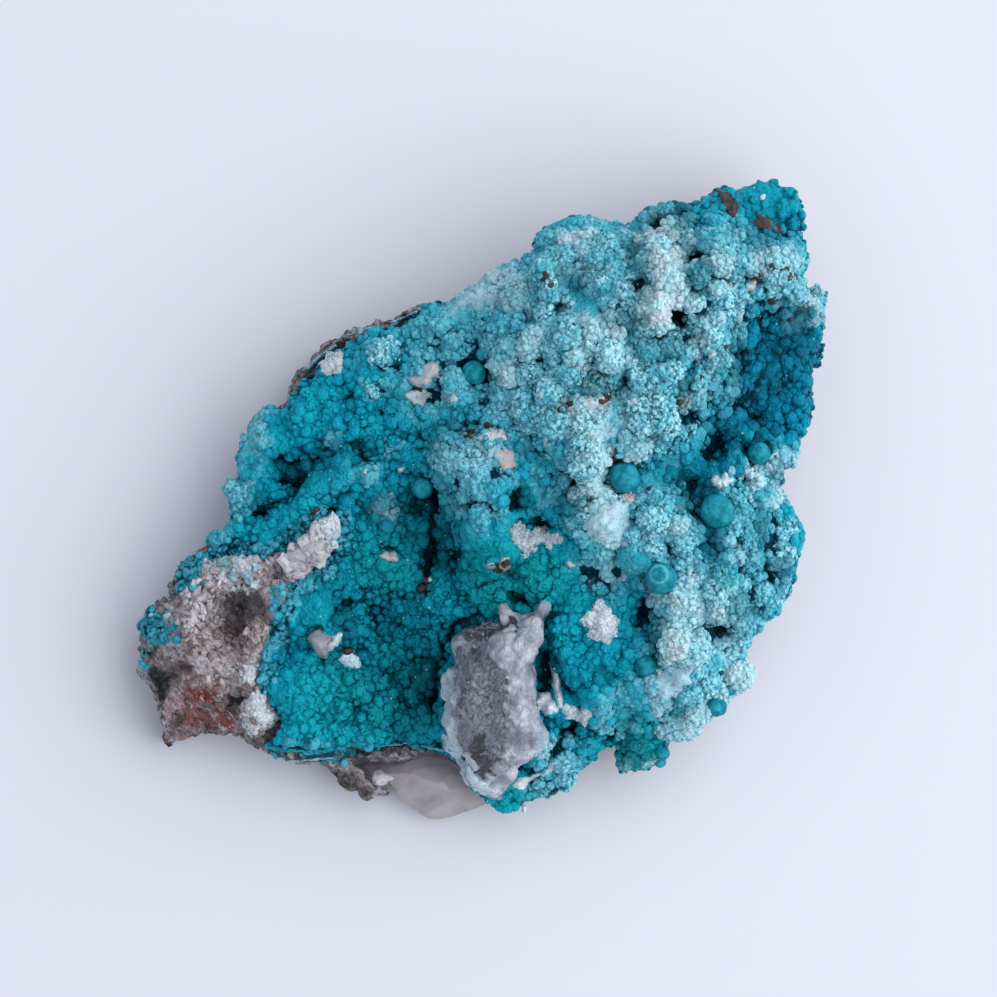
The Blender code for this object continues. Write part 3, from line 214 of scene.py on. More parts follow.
# Gaps and deep pits: sunk into the relief, and painted near-black with painted shade.
DARK = [
    (67.8, 31.7, 0.6, 0.7, 1), (62.4, 38.5, 0.8, 0.7, 0.8), (63.8, 28.8, 0.5, 0.9, 0.9, 15),
    (69.3, 25.5, 0.9, 0.5, 1, 20), (65.8, 34, 1, 0.4, 0.8), (71, 45, 0.5, 0.7, 0.6),
    (72.2, 63.2, 0.6, 0.8, 0.9), (64.6, 60.6, 0.5, 0.9, 0.5), (54.6, 67.4, 0.9, 2.2, 1),
    (52, 60, 1.8, 0.5, 0.7, 15), (45.4, 63.2, 0.4, 1.8, 0.8, 30), (48, 61.7, 2.2, 0.4, 0.7, -12),
    (57.2, 73.3, 0.9, 0.5, 0.9), (29.6, 46, 2, 0.4, 0.8, -8), (36, 44.7, 1, 0.4, 0.7, 30),
    (29.2, 48, 1.7, 0.5, 0.7, -10), (43, 53.6, 0.55, 5.4, 0.85, 5), (42.5, 59, 0.5, 1, 1),
    (51.5, 50, 0.6, 1.2, 0.9, 10), (25.8, 51.3, 0.6, 0.6, 0.9), (71.6, 27.9, 0.9, 0.4, 0.9),
    (75.4, 28, 0.8, 0.5, 0.9), (66.2, 21.9, 2.2, 0.5, 0.9, -12), (79.9, 31, 0.9, 0.8, 0.7),
    (77, 57, 0.9, 0.9, 0.8), (35.8, 44.8, 0.9, 0.4, 0.7, 40), (59.2, 38, 0.6, 0.35, 0.7),
    (74, 47.6, 0.8, 0.5, 0.8), (57.2, 47.8, 0.5, 1, 0.8), (53.5, 52.6, 2, 0.5, 0.7, 10),
    (48, 50.9, 2.6, 0.5, 0.7, 15), (34.6, 60.4, 0.5, 1, 0.6), (43.6, 68, 0.5, 4, 0.9, 5),
    (31.4, 63.4, 0.7, 0.6, 0.7), (68.6, 38.6, 0.5, 0.6, 0.8), (60.6, 67.4, 1.4, 0.5, 0.5, 20),
    (69.5, 29.2, 0.9, 0.4, 0.8, -20), (62.5, 33.6, 0.5, 1.4, 0.4, -30), (65.4, 44, 0.8, 0.4, 0.6),
]
# Brown and grey stains.
RUST = [
    (54.5, 28.1, 1, 0.6, 0.9, 20), (76.7, 26.7, 0.8, 0.5, 0.8), (79, 27.6, 0.6, 0.6, 0.9),
    (75.3, 28.5, 0.5, 0.5, 0.6), (77.3, 30, 0.5, 0.5, 0.8), (73.5, 31.8, 0.5, 0.7, 0.7),
    (79, 32, 0.6, 0.5, 0.7), (68, 40.2, 1.3, 0.6, 0.9, -20), (56.5, 40.6, 1.5, 0.8, 0.8, 20),
    (60.2, 40, 0.6, 0.8, 0.8), (61.3, 45.5, 0.5, 0.8, 0.7), (65.6, 23.6, 1, 0.7, 0.5),
    (67.8, 23.8, 1.2, 0.6, 0.6), (64.8, 48.8, 1, 0.5, 0.6), (67.6, 50.8, 0.9, 0.4, 0.7, 20),
    (65, 53.2, 0.4, 0.8, 0.6), (42.6, 59, 0.3, 0.9, 0.9), (47, 43.4, 0.8, 0.6, 1, 30),
]
# The bare rock.
CRYSTALLINE = [
    (31.8, 54.3, 4.2, 2.3, 1, -50), (23.4, 56.8, 3, 2, 1, -10), (25.4, 58.8, 1.2, 0.8, 0.6),
    (19.5, 61.4, 1.3, 3.4, 0.7), (19.6, 64.6, 1.5, 1.8, 0.45), (25.6, 66.4, 1.6, 1.6, 0.45),
    (22, 67.4, 2, 1.2, 0.5), (24.6, 68, 1.6, 1, 0.7), (27.2, 59.2, 1.2, 1, 0.4),
    (21.2, 59, 1.4, 1.2, 0.5), (15.8, 61, 1.2, 1, 0.6), (22.8, 73.2, 1.2, 0.8, 0.5),
]
PINKISH = [
    (30.6, 55.6, 2.8, 1.6, 0.6, -60), (19.4, 65, 2.4, 3, 1), (21.6, 67.6, 3.4, 1.8, 0.7),
    (25.4, 65.4, 2.4, 3, 0.25), (19.8, 61, 1.4, 3, 0.3),
]
BLUISH = [(23.8, 56.3, 3, 1.8, 0.95), (16.2, 61.3, 1.8, 1.4, 0.8), (33.4, 53.6, 0.8, 1.6, 0.3)]
RED = [
    (19.8, 69.5, 1.9, 0.9, 1), (22.6, 72.3, 1.7, 0.7, 1), (19.4, 65.4, 1.6, 1.8, 0.5),
    (21.6, 69, 1.8, 0.8, 0.4), (20, 71.4, 3.6, 1.8, 0.85), (19.6, 73.2, 4.6, 1.2, 0.6),
    (36, 77.6, 3, 1.6, 0.4, 30),
]
TEAL_RIM = [
    (14.9, 62.6, 1.3, 2, 1), (16.2, 62.8, 1.4, 1.7, 0.85), (13.9, 66, 0.7, 1.6, 0.5),
    (18.4, 57.4, 2.4, 1.6, 1, -40), (20.6, 55.4, 2.2, 1.3, 0.9, -30), (14.8, 67.4, 1.1, 1, 0.55),
    (27.9, 60.6, 0.9, 2.4, 0.65, 15), (22.4, 54.2, 1.4, 1, 0.8, -30), (27, 67, 0.5, 3, 0.5, 10),
    (31, 75.1, 5, 0.5, 1), (40, 74.6, 5, 0.4, 0.6), (34, 76.1, 5, 0.2, 0.8, 2),
]
# Black and dark grey patches of the rock; over its deep pit the black is painted shade.
BLACK = [
    (34.5, 34.8, 5, 0.45, 0.8, -30), (40.4, 32.2, 2.6, 0.5, 0.9, -20),
    (30.4, 38.4, 2.6, 0.4, 0.7, -55), (16.2, 60.6, 1.2, 0.4, 0.7, -30), (14.6, 65.2, 1.1, 0.8, 0.8),
    (15.6, 68.8, 1.5, 2.6, 0.85, 25), (23.4, 61.6, 1.2, 2.5, 0.6), (24.8, 60.4, 1.6, 1.2, 0.5),
    (26.6, 61.6, 1.6, 1.6, 0.6), (23.6, 70.1, 1.3, 0.6, 0.9, -20), (18.8, 66.9, 0.8, 0.6, 0.7),
    (19.6, 72.4, 2.4, 0.5, 0.55), (17.2, 72.4, 0.8, 1.6, 0.6), (25.6, 74.4, 1.8, 0.8, 0.9, 20),
    (28.6, 57.8, 1.2, 0.6, 0.7, 30), (27, 53.8, 1, 0.5, 0.6), (17.4, 67.4, 0.8, 1.2, 0.6),
    (34.8, 78.4, 2.4, 1.4, 0.7, 30),
]
# The deep pit of the bare rock.
MATRIX_PIT = [(23.4, 61.6, 1.2, 2.5, 0.6), (24.8, 60.4, 1.6, 1.2, 0.5)]
# Where the rock's thin level seams show.
LAYERED = [
    (20, 73.4, 4.6, 0.7, 0.5), (35.5, 34.2, 10, 2.4, 1, -33), (36, 75.8, 11, 1.3, 0.5),
    (24.2, 45, 1, 6, 0.7),
]
# Rock that lies bare, not under the crust.
BARE_ROCK = [
    (20, 65, 7, 10, 1, 20), (24, 57, 6, 3, 1, -20), (30, 54.5, 5, 3.4, 1, -35), (24, 71, 4, 4, 1),
    (35, 78, 5, 2.6, 1, 30),
]
# The nodule's lilac-white skin, the darkest of its core, and its pale rim.
NODULE_SKIN = [
    (52.6, 65, 2.4, 3.4, 1, -10), (52.7, 70, 1.7, 4.4, 1), (53, 74.4, 2.4, 2.8, 1),
    (50.8, 77.6, 2.6, 1.6, 1, -20), (50, 64.8, 1.2, 1.5, 1), (54.6, 60.6, 1.3, 2.4, 1, -20),
    (50, 60.9, 1.1, 1.4, 1), (48.8, 79, 1.4, 1.4, 0.9), (52.2, 62.4, 2, 1, 0.7),
    (45.6, 64.9, 0.5, 1, 0.8, 15), (46.7, 63.3, 1, 0.4, 0.8, -35), (48.4, 62.4, 0.9, 0.35, 0.7, -10),
]
NODULE_INKY = [
    (48.6, 63.1, 2.4, 0.8, 1, -18), (47.2, 65.3, 1.5, 0.8, 0.6), (48.2, 75.4, 1, 2.4, 0.9, -12),
    (46, 69.4, 0.4, 2.2, 0.5), (50.8, 62.3, 1.3, 0.4, 1, -8), (53.4, 66.8, 0.5, 0.8, 0.5),
    (49.2, 67.6, 1.2, 1, 0.3), (53, 67.7, 0.8, 1.3, 0.45),
]
NODULE_PALE_RIM = [
    (44.7, 68.8, 0.9, 2.6, 1), (44.9, 73, 1.1, 2.8, 1, -15), (46.6, 76.8, 0.9, 2.6, 1, -30),
    (45.3, 64.6, 0.6, 1.6, 0.6), (54.2, 73.8, 0.7, 1.8, 0.9), (54.6, 60.2, 0.7, 0.9, 0.8),
    (48.6, 78.6, 1.4, 0.8, 0.8, -30),
]


def cloud(points, width, seed):
    """Smooth random values, 0 to 1, over points in millimetres, with features about a width across."""
    size = 64
    table = np.random.default_rng(seed).random((size, size, size))
    cell = points / width
    low = np.floor(cell).astype(int)
    share = cell - low
    share = share * share * (3 - 2 * share)
    total = np.zeros(len(points))
    for corner in np.ndindex(2, 2, 2):
        weight = np.where(corner, share, 1 - share).prod(axis=1)
        total += weight * table[tuple(((low + corner) % size).T)]
    return total


def sheet_cloud(places, width, seed):
    """The same over places of the plan sheet."""
    return cloud(np.pad(places, ((0, 0), (0, 1))), width, seed)


def painted(places, ovals, softness=0.3, ragged=0.5):
    """How strongly the ovals cover each place, with ragged edges."""
    wander = np.column_stack([cloud(places, 0.9, seed) - 0.5 for seed in (1, 2)])
    wander += 0.5 * np.column_stack([cloud(places, 0.4, seed) - 0.5 for seed in (3, 4)])
    flat = places[:, :2] + wander * 2 * ragged
    total = np.zeros(len(places))
    for right, down, half_width, half_depth, strength, *turn in ovals:
        across, along = flat[:, 0] - right, flat[:, 1] - down
        angle = math.radians(sum(turn))
        first = (across * math.cos(angle) + along * math.sin(angle)) / half_width
        second = (along * math.cos(angle) - across * math.sin(angle)) / half_depth
        reach = np.sqrt(first ** 2 + second ** 2)
        share = np.clip((1 + softness - reach) / (2 * softness), 0, 1)
        total = np.maximum(total, strength * share * share * (3 - 2 * share))
    return total


# ---------------------------------------------------------------- meshes

def array_of(collection, field, width):
    """A field of everything in a collection, as rows of that width."""
    flat = np.empty(len(collection) * width, np.float32)
    collection.foreach_get(field, flat)
    return flat.reshape(-1, width)


def plan(mesh):
    """A mesh's points as plan places."""
    return sheet_places(array_of(mesh.vertices, "co", 3))


def facing(mesh):
    """How far each point of a mesh faces upwards."""
    return array_of(mesh.vertex_normals, "vector", 3)[:, 2]


def mark(mesh, **measures):
    """Keeps measures as attributes, one number for each point or one for them all."""
    for name, values in measures.items():
        layer = mesh.attributes.get(name) or mesh.attributes.new(name, "FLOAT", "POINT")
        layer.data.foreach_set("value", np.full(len(mesh.vertices), values, np.float32))


def reading(mesh, *names):
    """The measures of those names."""
    return [array_of(mesh.attributes[name].data, "value", 1)[:, 0] for name in names]


def moved(mesh, points):
    """Moves a mesh's points."""
    mesh.vertices.foreach_set("co", points.astype(np.float32).ravel())
    mesh.update()


def plain_mesh(name, body):
    """What was built, as a mesh."""
    mesh = bpy.data.meshes.new(name)
    body.to_mesh(mesh)
    body.free()
    return mesh


def placed(name, data):
    """An object in the scene that shows a mesh, a light or a camera."""
    piece = bpy.data.objects.new(name, data)
    bpy.context.scene.collection.objects.link(piece)
    return piece


def joined(name, pieces):
    """One piece of several pieces' meshes."""
    body = bmesh.new()
    for piece in pieces:
        body.from_mesh(piece.data)
    return placed(name, plain_mesh(name, body))


def settled(piece):
    """The piece with its modifiers turned into plain mesh."""
    graph = bpy.context.evaluated_depsgraph_get()
    mesh = bpy.data.meshes.new_from_object(
        piece.evaluated_get(graph), preserve_all_data_layers=True, depsgraph=graph
    )
    piece.modifiers.clear()
    piece.data = mesh
    return piece


def rounded_copy(node, name, levels):
    """A welded, finer and rounder copy of a solid's mesh."""
    body = bmesh.new()
    body.from_mesh(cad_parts[node].data)
    bmesh.ops.remove_doubles(body, verts=body.verts, dist=0.001 * MM)
    mesh = plain_mesh(name, body)
    if "custom_normal" in mesh.attributes:
        mesh.attributes.remove(mesh.attributes["custom_normal"])
    piece = placed(name, mesh)
    rounding = piece.modifiers.new("rounding", "SUBSURF")
    rounding.levels = levels
    rounding.render_levels = levels
    return settled(piece)


def run_tree(piece, tree, **values):
    """Runs a Geometry Nodes tree on a piece, with its named inputs, and keeps the result as mesh."""
    modifier = piece.modifiers.new(tree.name, "NODES")
    modifier.node_group = tree
    for item in tree.interface.items_tree:
        if item.in_out == "INPUT" and item.name in values:
            modifier[item.identifier] = values[item.name]
    piece.update_tag()
    return settled(piece)


def feed(tree, node, inputs):
    """Links each input of a node to a socket, or sets it to a value."""
    for key, value in inputs.items():
        if isinstance(value, bpy.types.NodeSocket):
            tree.links.new(value, node.inputs[key])
        else:
            node.inputs[key].default_value = value


def add(tree, kind, inputs=(), out=0, **settings):
    """Adds a node with its settings and inputs, and gives one of its outputs, or the node for None."""
    node = tree.nodes.new(kind)
    for name, value in settings.items():
        setattr(node, name, value)
    feed(tree, node, dict(inputs))
    return node if out is None else node.outputs[out]


def several(tree, kind, keys, rows, out=0, **settings):
    """Adds a node of one kind for each row of values, which go to the inputs of those keys."""
    return [add(tree, kind, zip(keys, row), out, **settings) for row in rows]


def new_tree(name, **sockets):
    """An empty Geometry Nodes tree with its named inputs: (tree, inputs)."""
    tree = bpy.data.node_groups.new(name, "GeometryNodeTree")
    tree.interface.new_socket("Geometry", in_out="INPUT", socket_type="NodeSocketGeometry")
    for socket, value in sockets.items():
        kind = "NodeSocketInt" if isinstance(value, int) else "NodeSocketFloat"
        made = tree.interface.new_socket(socket, in_out="INPUT", socket_type=kind)
        made.default_value = value
    tree.interface.new_socket("Geometry", in_out="OUTPUT", socket_type="NodeSocketGeometry")
    return tree, add(tree, "NodeGroupInput", out=None).outputs


def relief_tree():
    """Botryoidal relief: close-set domes of two sizes pushed out along the surface, kept as crest."""
    tree, given = new_tree(
        "botryoidal_relief", lump_width=2.4, lump_height=0.7, knob_width=1.2, knob_height=0.35,
        wander=0.5, pit_depth=0.0, datum=0.34,
    )
    place, normal = (add(tree, f"GeometryNodeInput{kind}") for kind in ("Position", "Normal"))
    room, dark = several(
        tree, "GeometryNodeInputNamedAttribute", ["Name"], [["room"], ["dark"]], "Attribute"
    )
    millimetres = add(tree, "ShaderNodeVectorMath", {0: place, 3: 1 / MM}, operation="SCALE")
    noise = add(tree, "ShaderNodeTexNoise", {"Vector": millimetres, "Scale": 0.6, "Detail": 3.0}, "Color")
    centred = add(tree, "ShaderNodeVectorMath", {0: noise, 1: (0.5, 0.5, 0.5)}, operation="SUBTRACT")
    wandering = add(tree, "ShaderNodeVectorMath", {0: centred, 3: given["wander"]}, operation="SCALE")
    bent = add(tree, "ShaderNodeVectorMath", {0: millimetres, 1: wandering}, operation="ADD")
    domes, raised = [], []
    for width, rise in (("lump_width", "lump_height"), ("knob_width", "knob_height")):
        scale = add(tree, "ShaderNodeMath", {0: 1.0, 1: given[width]}, operation="DIVIDE")
        cell = add(tree, "ShaderNodeTexVoronoi", {"Vector": bent, "Scale": scale}, "Distance")
        squared = add(tree, "ShaderNodeMath", {0: cell, 1: cell}, operation="MULTIPLY")
        domes.append(add(tree, "ShaderNodeMath", {0: given["datum"], 1: squared}, operation="SUBTRACT"))
        raised.append(add(tree, "ShaderNodeMath", {0: domes[-1], 1: given[rise]}, operation="MULTIPLY"))
    crest, height = several(tree, "ShaderNodeMath", (0, 1), [domes, raised], operation="ADD")
    pit = add(tree, "ShaderNodeMath", {0: dark, 1: given["pit_depth"]}, operation="MULTIPLY")
    for value, operation in ((room, "MULTIPLY"), (pit, "SUBTRACT"), (MM, "MULTIPLY")):
        height = add(tree, "ShaderNodeMath", {0: height, 1: value}, operation=operation)
    offset = add(tree, "ShaderNodeVectorMath", {0: normal, 3: height}, operation="SCALE")
    crest = add(tree, "ShaderNodeMapRange", {"Value": crest, "From Min": -0.9, "From Max": 0.6})
    marked = given["Geometry"]
    for name in ("crest", "lump"):
        marked = add(
            tree, "GeometryNodeStoreNamedAttribute", {"Geometry": marked, "Name": name, "Value": crest},
            data_type="FLOAT",
        )
    pushed = add(tree, "GeometryNodeSetPosition", {"Geometry": marked, "Offset": offset})
    add(tree, "NodeGroupOutput", {0: pushed}, None)
    return tree


def growth_tree():
    """Grows shapes from a collection over a surface where its cover attribute allows."""
    tree, given = new_tree(
        "growth", spacing=0.6 * MM, thickest=6e6, smallest=0.4 * MM, largest=0.8 * MM, tilt=0.5, seed=1,
    )
    tree.interface.new_socket("shapes", in_out="INPUT", socket_type="NodeSocketCollection")
    tree.interface.new_socket("finish", in_out="INPUT", socket_type="NodeSocketMaterial")
    cover, girth = several(
        tree, "GeometryNodeInputNamedAttribute", ["Name"], [["cover"], ["girth"]], "Attribute"
    )
    points = add(tree, "GeometryNodeDistributePointsOnFaces", {
        "Mesh": given["Geometry"], "Distance Min": given["spacing"], "Density Max": given["thickest"],
        "Density Factor": cover, "Seed": given["seed"],
    }, None, distribute_method="POISSON").outputs
    shapes = add(tree, "GeometryNodeCollectionInfo", {
        "Collection": given["shapes"], "Separate Children": True, "Reset Children": True,
    })
    # Many small ones and few large.
    chance = add(tree, "FunctionNodeRandomValue", {"Seed": given["seed"]}, 1, data_type="FLOAT")
    skewed = add(tree, "ShaderNodeMath", {0: chance, 1: 1.6}, operation="POWER")
    size = add(tree, "ShaderNodeMapRange", {
        "Value": skewed, "To Min": given["smallest"], "To Max": given["largest"],
    })
    size = add(tree, "ShaderNodeMath", {0: size, 1: girth}, operation="MULTIPLY")
    turn, lean, stretch = several(tree, "FunctionNodeRandomValue", ("Min", "Max"), [
        ((0, 0, 0), (0, 0, 2 * math.pi)), ((-1, -1, 0), (1, 1, 0)), ([0.85] * 3, [1.15] * 3),
    ], data_type="FLOAT_VECTOR")
    lean = add(tree, "ShaderNodeVectorMath", {0: lean, 3: given["tilt"]}, operation="SCALE")
    rotation = points["Rotation"]
    for angles in (lean, turn):
        step = add(tree, "FunctionNodeEulerToRotation", {0: angles})
        rotation = add(tree, "FunctionNodeRotateRotation", {0: rotation, 1: step}, rotation_space="LOCAL")
    scale = add(tree, "ShaderNodeVectorMath", {0: stretch, 3: size}, operation="SCALE")
    growing = add(tree, "GeometryNodeInstanceOnPoints", {
        "Points": points["Points"], "Instance": shapes, "Pick Instance": True, "Rotation": rotation,
        "Scale": scale,
    })
    tint = add(tree, "FunctionNodeRandomValue", out=1, data_type="FLOAT")
    tinted = add(
        tree, "GeometryNodeStoreNamedAttribute", {"Geometry": growing, "Name": "tint", "Value": tint},
        data_type="FLOAT", domain="INSTANCE",
    )
    real = add(tree, "GeometryNodeRealizeInstances", {"Geometry": tinted})
    finished = add(tree, "GeometryNodeSetMaterial", {"Geometry": real, "Material": given["finish"]})
    add(tree, "NodeGroupOutput", {0: finished}, None)
    return tree


def turned_shape(name, seed, sides, unevenness, smooth, narrow, slant, rings):
    """A small closed shape of unit size: rings of (height, radius) and its two ends, made irregular,
    then narrowed one way and slanted on top."""
    chance = random.Random(seed)
    body = bmesh.new()
    rows = []
    for height, radius in rings:
        row = []
        for side in range(sides):
            angle = 2 * math.pi * (side + chance.uniform(-unevenness, unevenness)) / sides
            reach = radius * (1 + chance.uniform(-unevenness, unevenness))
            across, along = reach * math.cos(angle), narrow * reach * math.sin(angle)
            lift = slant * across if height > 0 else 0
            row.append(body.verts.new((across, along, height + lift)))
        rows.append(row)
    body.faces.new(list(reversed(rows[0])))
    top, end_radius = rings[-1]
    tip = body.verts.new((0, 0, top + 0.3 * end_radius))
    for lower, upper in zip(rows, rows[1:]):
        for side in range(sides):
            following = (side + 1) % sides
            body.faces.new((lower[side], lower[following], upper[following], upper[side]))
    for side in range(sides):
        body.faces.new((rows[-1][side], rows[-1][(side + 1) % sides], tip))
    mesh = plain_mesh(name, body)
    # The crest grows from the foot that shows to just above the last ring.
    foot, full = -0.15, top + 0.1
    heights = array_of(mesh.vertices, "co", 3)[:, 2]
    mark(mesh, crest=np.clip((heights - foot) / (full - foot), 0, 1))
    if smooth:
        mesh.shade_smooth()
    return bpy.data.objects.new(name, mesh)


def shape_collection(name, count, sides, *form):
    """A collection outside the scene that holds small shapes of one kind for growth."""
    made = bpy.data.collections.new(f"{name}s")
    for seed in range(count):
        made.objects.link(turned_shape(f"{name}_{seed}", seed, sides[seed % len(sides)], *form))
    return made


RELIEF = relief_tree()
GROWTH = growth_tree()
# Kind, how many, their sides, unevenness, smooth or not, narrowing, slant and rings.
GRAINS, CRUMBS, KNOBS, HEADS, CRYSTALS, PLATES, CHIPS = (shape_collection(*kind) for kind in (
    ("grain", 4, [7], 0.12, True, 1, 0, [(-0.24, 0.44), (0.04, 0.5), (0.3, 0.36)]),
    ("crumb", 4, [6], 0.16, True, 1, 0, [(-0.22, 0.46), (0.26, 0.42)]),
    ("knob", 4, [8], 0.14, True, 1, 0, [(-0.4, 0.4), (-0.12, 0.5), (0.14, 0.43), (0.28, 0.25)]),
    ("head", 4, [9], 0.16, True, 1, 0, [(-0.45, 0.36), (-0.18, 0.5), (0.1, 0.47), (0.26, 0.3)]),
    ("crystal", 5, [5, 6], 0.22, False, 1, 0, [(-0.4, 0.42), (0.3, 0.36)]),
    ("plate", 5, [5, 6], 0.3, False, 0.62, 0.3, [(-0.3, 0.44), (0.06, 0.5), (0.2, 0.34)]),
    ("chip", 5, [5], 0.35, False, 0.75, 0.2, [(-0.3, 0.46), (0.12, 0.52), (0.26, 0.34)]),
))


# ---------------------------------------------------------------- finishes

def linear(hex_colour):
    """A hex sRGB colour as linear RGBA."""
    channels = [int(hex_colour[place:place + 2], 16) / 255 for place in (1, 3, 5)]
    return [c / 12.92 if c <= 0.04045 else ((c + 0.055) / 1.055) ** 2.4 for c in channels] + [1.0]


def per_mm(width):
    """A texture scale on Object coordinates for features this many millimetres wide."""
    return 1 / (width * MM)


# The inputs of a noise, and of a span of values: where it starts, where it is full, and what it gives
# there and at its start.
NOISE = ("Vector", "Scale", "Detail", "Distortion")
SPAN = ("Value", "From Min", "From Max", "To Max", "To Min")


def finish(name, surface):
    """A material: surface is given its tree and its object coordinates, and gives its shader's inputs."""
    material = bpy.data.materials.new(name)
    material.use_nodes = True
    tree = material.node_tree
    place = add(tree, "ShaderNodeTexCoord", out="Object")
    feed(tree, tree.nodes["Principled BSDF"], surface(tree, place))
    return material


def coated(tree, ground, *coats):
    """Colours laid one over another, each a linear one, a hex one or a socket: (how much, colour)."""
    colour = linear(ground) if isinstance(ground, str) else ground
    for share, coat in coats:
        coat = linear(coat) if isinstance(coat, str) else coat
        colour = add(tree, "ShaderNodeMix", {0: share, 6: colour, 7: coat}, 2, data_type="RGBA")
    return colour


def ragged_mask(tree, attribute, noise, raggedness, low=0.35, high=0.65):
    """A painted measure as a mask whose edge is broken up by a noise."""
    measure = add(tree, "ShaderNodeAttribute", out="Fac", attribute_name=attribute)
    centred = add(tree, "ShaderNodeMath", {0: noise, 1: 0.5}, operation="SUBTRACT")
    swing = add(tree, "ShaderNodeMath", {0: centred, 1: raggedness}, operation="MULTIPLY")
    total = add(tree, "ShaderNodeMath", {0: measure, 1: swing}, operation="ADD")
    return add(
        tree, "ShaderNodeMapRange", {"Value": total, "From Min": low, "From Max": high},
        interpolation_type="SMOOTHSTEP",
    )


def chrysocolla(tree, place):
    """Chrysocolla, a waxy hydrous copper silicate grown as knobs: saturated blue-green, darkened with painted
    shade in its grooves and lightened with painted light on its crests, and pale on the crests, where a dust
    of chalcedony has settled."""
    mottle, grain, sugar = several(tree, "ShaderNodeTexNoise", NOISE, [
        (place, per_mm(2.2), 5), (place, per_mm(0.28), 3), (place, per_mm(0.4), 4),
    ])
    crest, lump, tint, fresh, dust, frost, deep, green, bright, rust, shade, dark = (
        add(tree, "ShaderNodeAttribute", out="Fac", attribute_name=name) for name in (
            "crest", "lump", "tint", "fresh", "dust", "frost", "deep", "green", "smooth", "rust", "shade",
            "dark",
        )
    )

    # How high up its head and its knob a point is, with chance from knob to knob and spot to spot.
    high = add(tree, "ShaderNodeMix", {0: 0.45, 2: lump, 3: crest}, data_type="FLOAT")
    for noise, middle, weight in ((tint, 0.5, 0.3), (grain, 0.5, 0.7), (mottle, 0.5, 0.8), (fresh, 0.0, 0.3)):
        centred = add(tree, "ShaderNodeMath", {0: noise, 1: middle}, operation="SUBTRACT")
        swing = add(tree, "ShaderNodeMath", {0: centred, 1: weight}, operation="MULTIPLY")
        high = add(tree, "ShaderNodeMath", {0: high, 1: swing}, operation="ADD")
    middling, lit, above, rosy, patchy, spotted, groove_shade = several(tree, "ShaderNodeMapRange", SPAN, [
        (high, 0.24, 0.56), (high, 0.48, 0.85), (high, 0.15, 0.6), (mottle, 0.48, 0.66),
        (mottle, 0.34, 0.58, 1.34, 0.52), (sugar, 0.53, 0.41), (lump, 0.44, 0.2),
    ])
    tips = add(
        tree, "ShaderNodeMapRange", zip(SPAN, (high, 0.32, 0.64)), interpolation_type="SMOOTHSTEP"
    )
    # Three ramps, plain, deep blue and green, each from a groove tone of painted shade through a middle tone
    # to a crest tone of painted light, by how high a point stands.
    plain, blue, leafy = (
        coated(tree, shaded_groove_tone, (middling, middle_tone), (lit, lit_crest_tone))
        for shaded_groove_tone, middle_tone, lit_crest_tone in (
            ("#003245", "#007c98", "#10b2cb"), ("#002236", "#00536f", "#0084a4"),
            ("#003b42", "#007f86", "#18b4ae"),
        )
    )
    skin, frosting, stain, shade = several(tree, "ShaderNodeMath", (0, 1), [
        (bright, 0.7), (frost, above), (rust, grain), (shade, 0.78),
    ], operation="MULTIPLY")
    # The smooth skins are a brighter teal, lit further with painted light where they stand high.
    bright_skin = coated(tree, "#0089a3", (lit, "#12b4c8"))
    colour = coated(tree, plain, (deep, blue), (green, leafy), (skin, bright_skin))

    # The pale dust and the white frost on what stands high, and blue spots in the dust; then painted shade,
    # in the low gaps, in the shaded valleys and near-black in the pits.
    dusting = dust
    for share in (patchy, tips):
        dusting = add(tree, "ShaderNodeMath", {0: dusting, 1: share}, operation="MULTIPLY")
    paler = add(tree, "ShaderNodeMath", {0: dusting, 1: dusting}, operation="MULTIPLY")
    white = coated(tree, "#ccf5fc", (rosy, "#dde2ec"))
    unfrosted = add(tree, "ShaderNodeMath", {0: 1.0, 1: frost}, operation="SUBTRACT", use_clamp=True)
    for share in (dusting, unfrosted):
        spotted = add(tree, "ShaderNodeMath", {0: spotted, 1: share}, operation="MULTIPLY")
    colour = coated(
        tree, colour, (dusting, "#64daef"), (paler, "#bcf5fd"), (frosting, white), (spotted, "#078ba6"),
        (stain, "#7d655c"), (groove_shade, "#00384f"), (shade, "#00313f"), (dark, "#03222c"),
    )
    rough = add(tree, "ShaderNodeMapRange", {"Value": dusting, "To Min": 0.42, "To Max": 0.8})
    cell = add(tree, "ShaderNodeTexVoronoi", {"Vector": place, "Scale": per_mm(0.45)}, "Distance")
    hollow = add(tree, "ShaderNodeMath", {0: grain, 1: cell}, operation="SUBTRACT")
    bump = add(tree, "ShaderNodeBump", {"Height": hollow, "Strength": 1.0, "Distance": 0.3 * MM})
    return {"Base Color": colour, "Roughness": rough, "IOR": 1.46, "Specular IOR Level": 0.1, "Normal": bump}


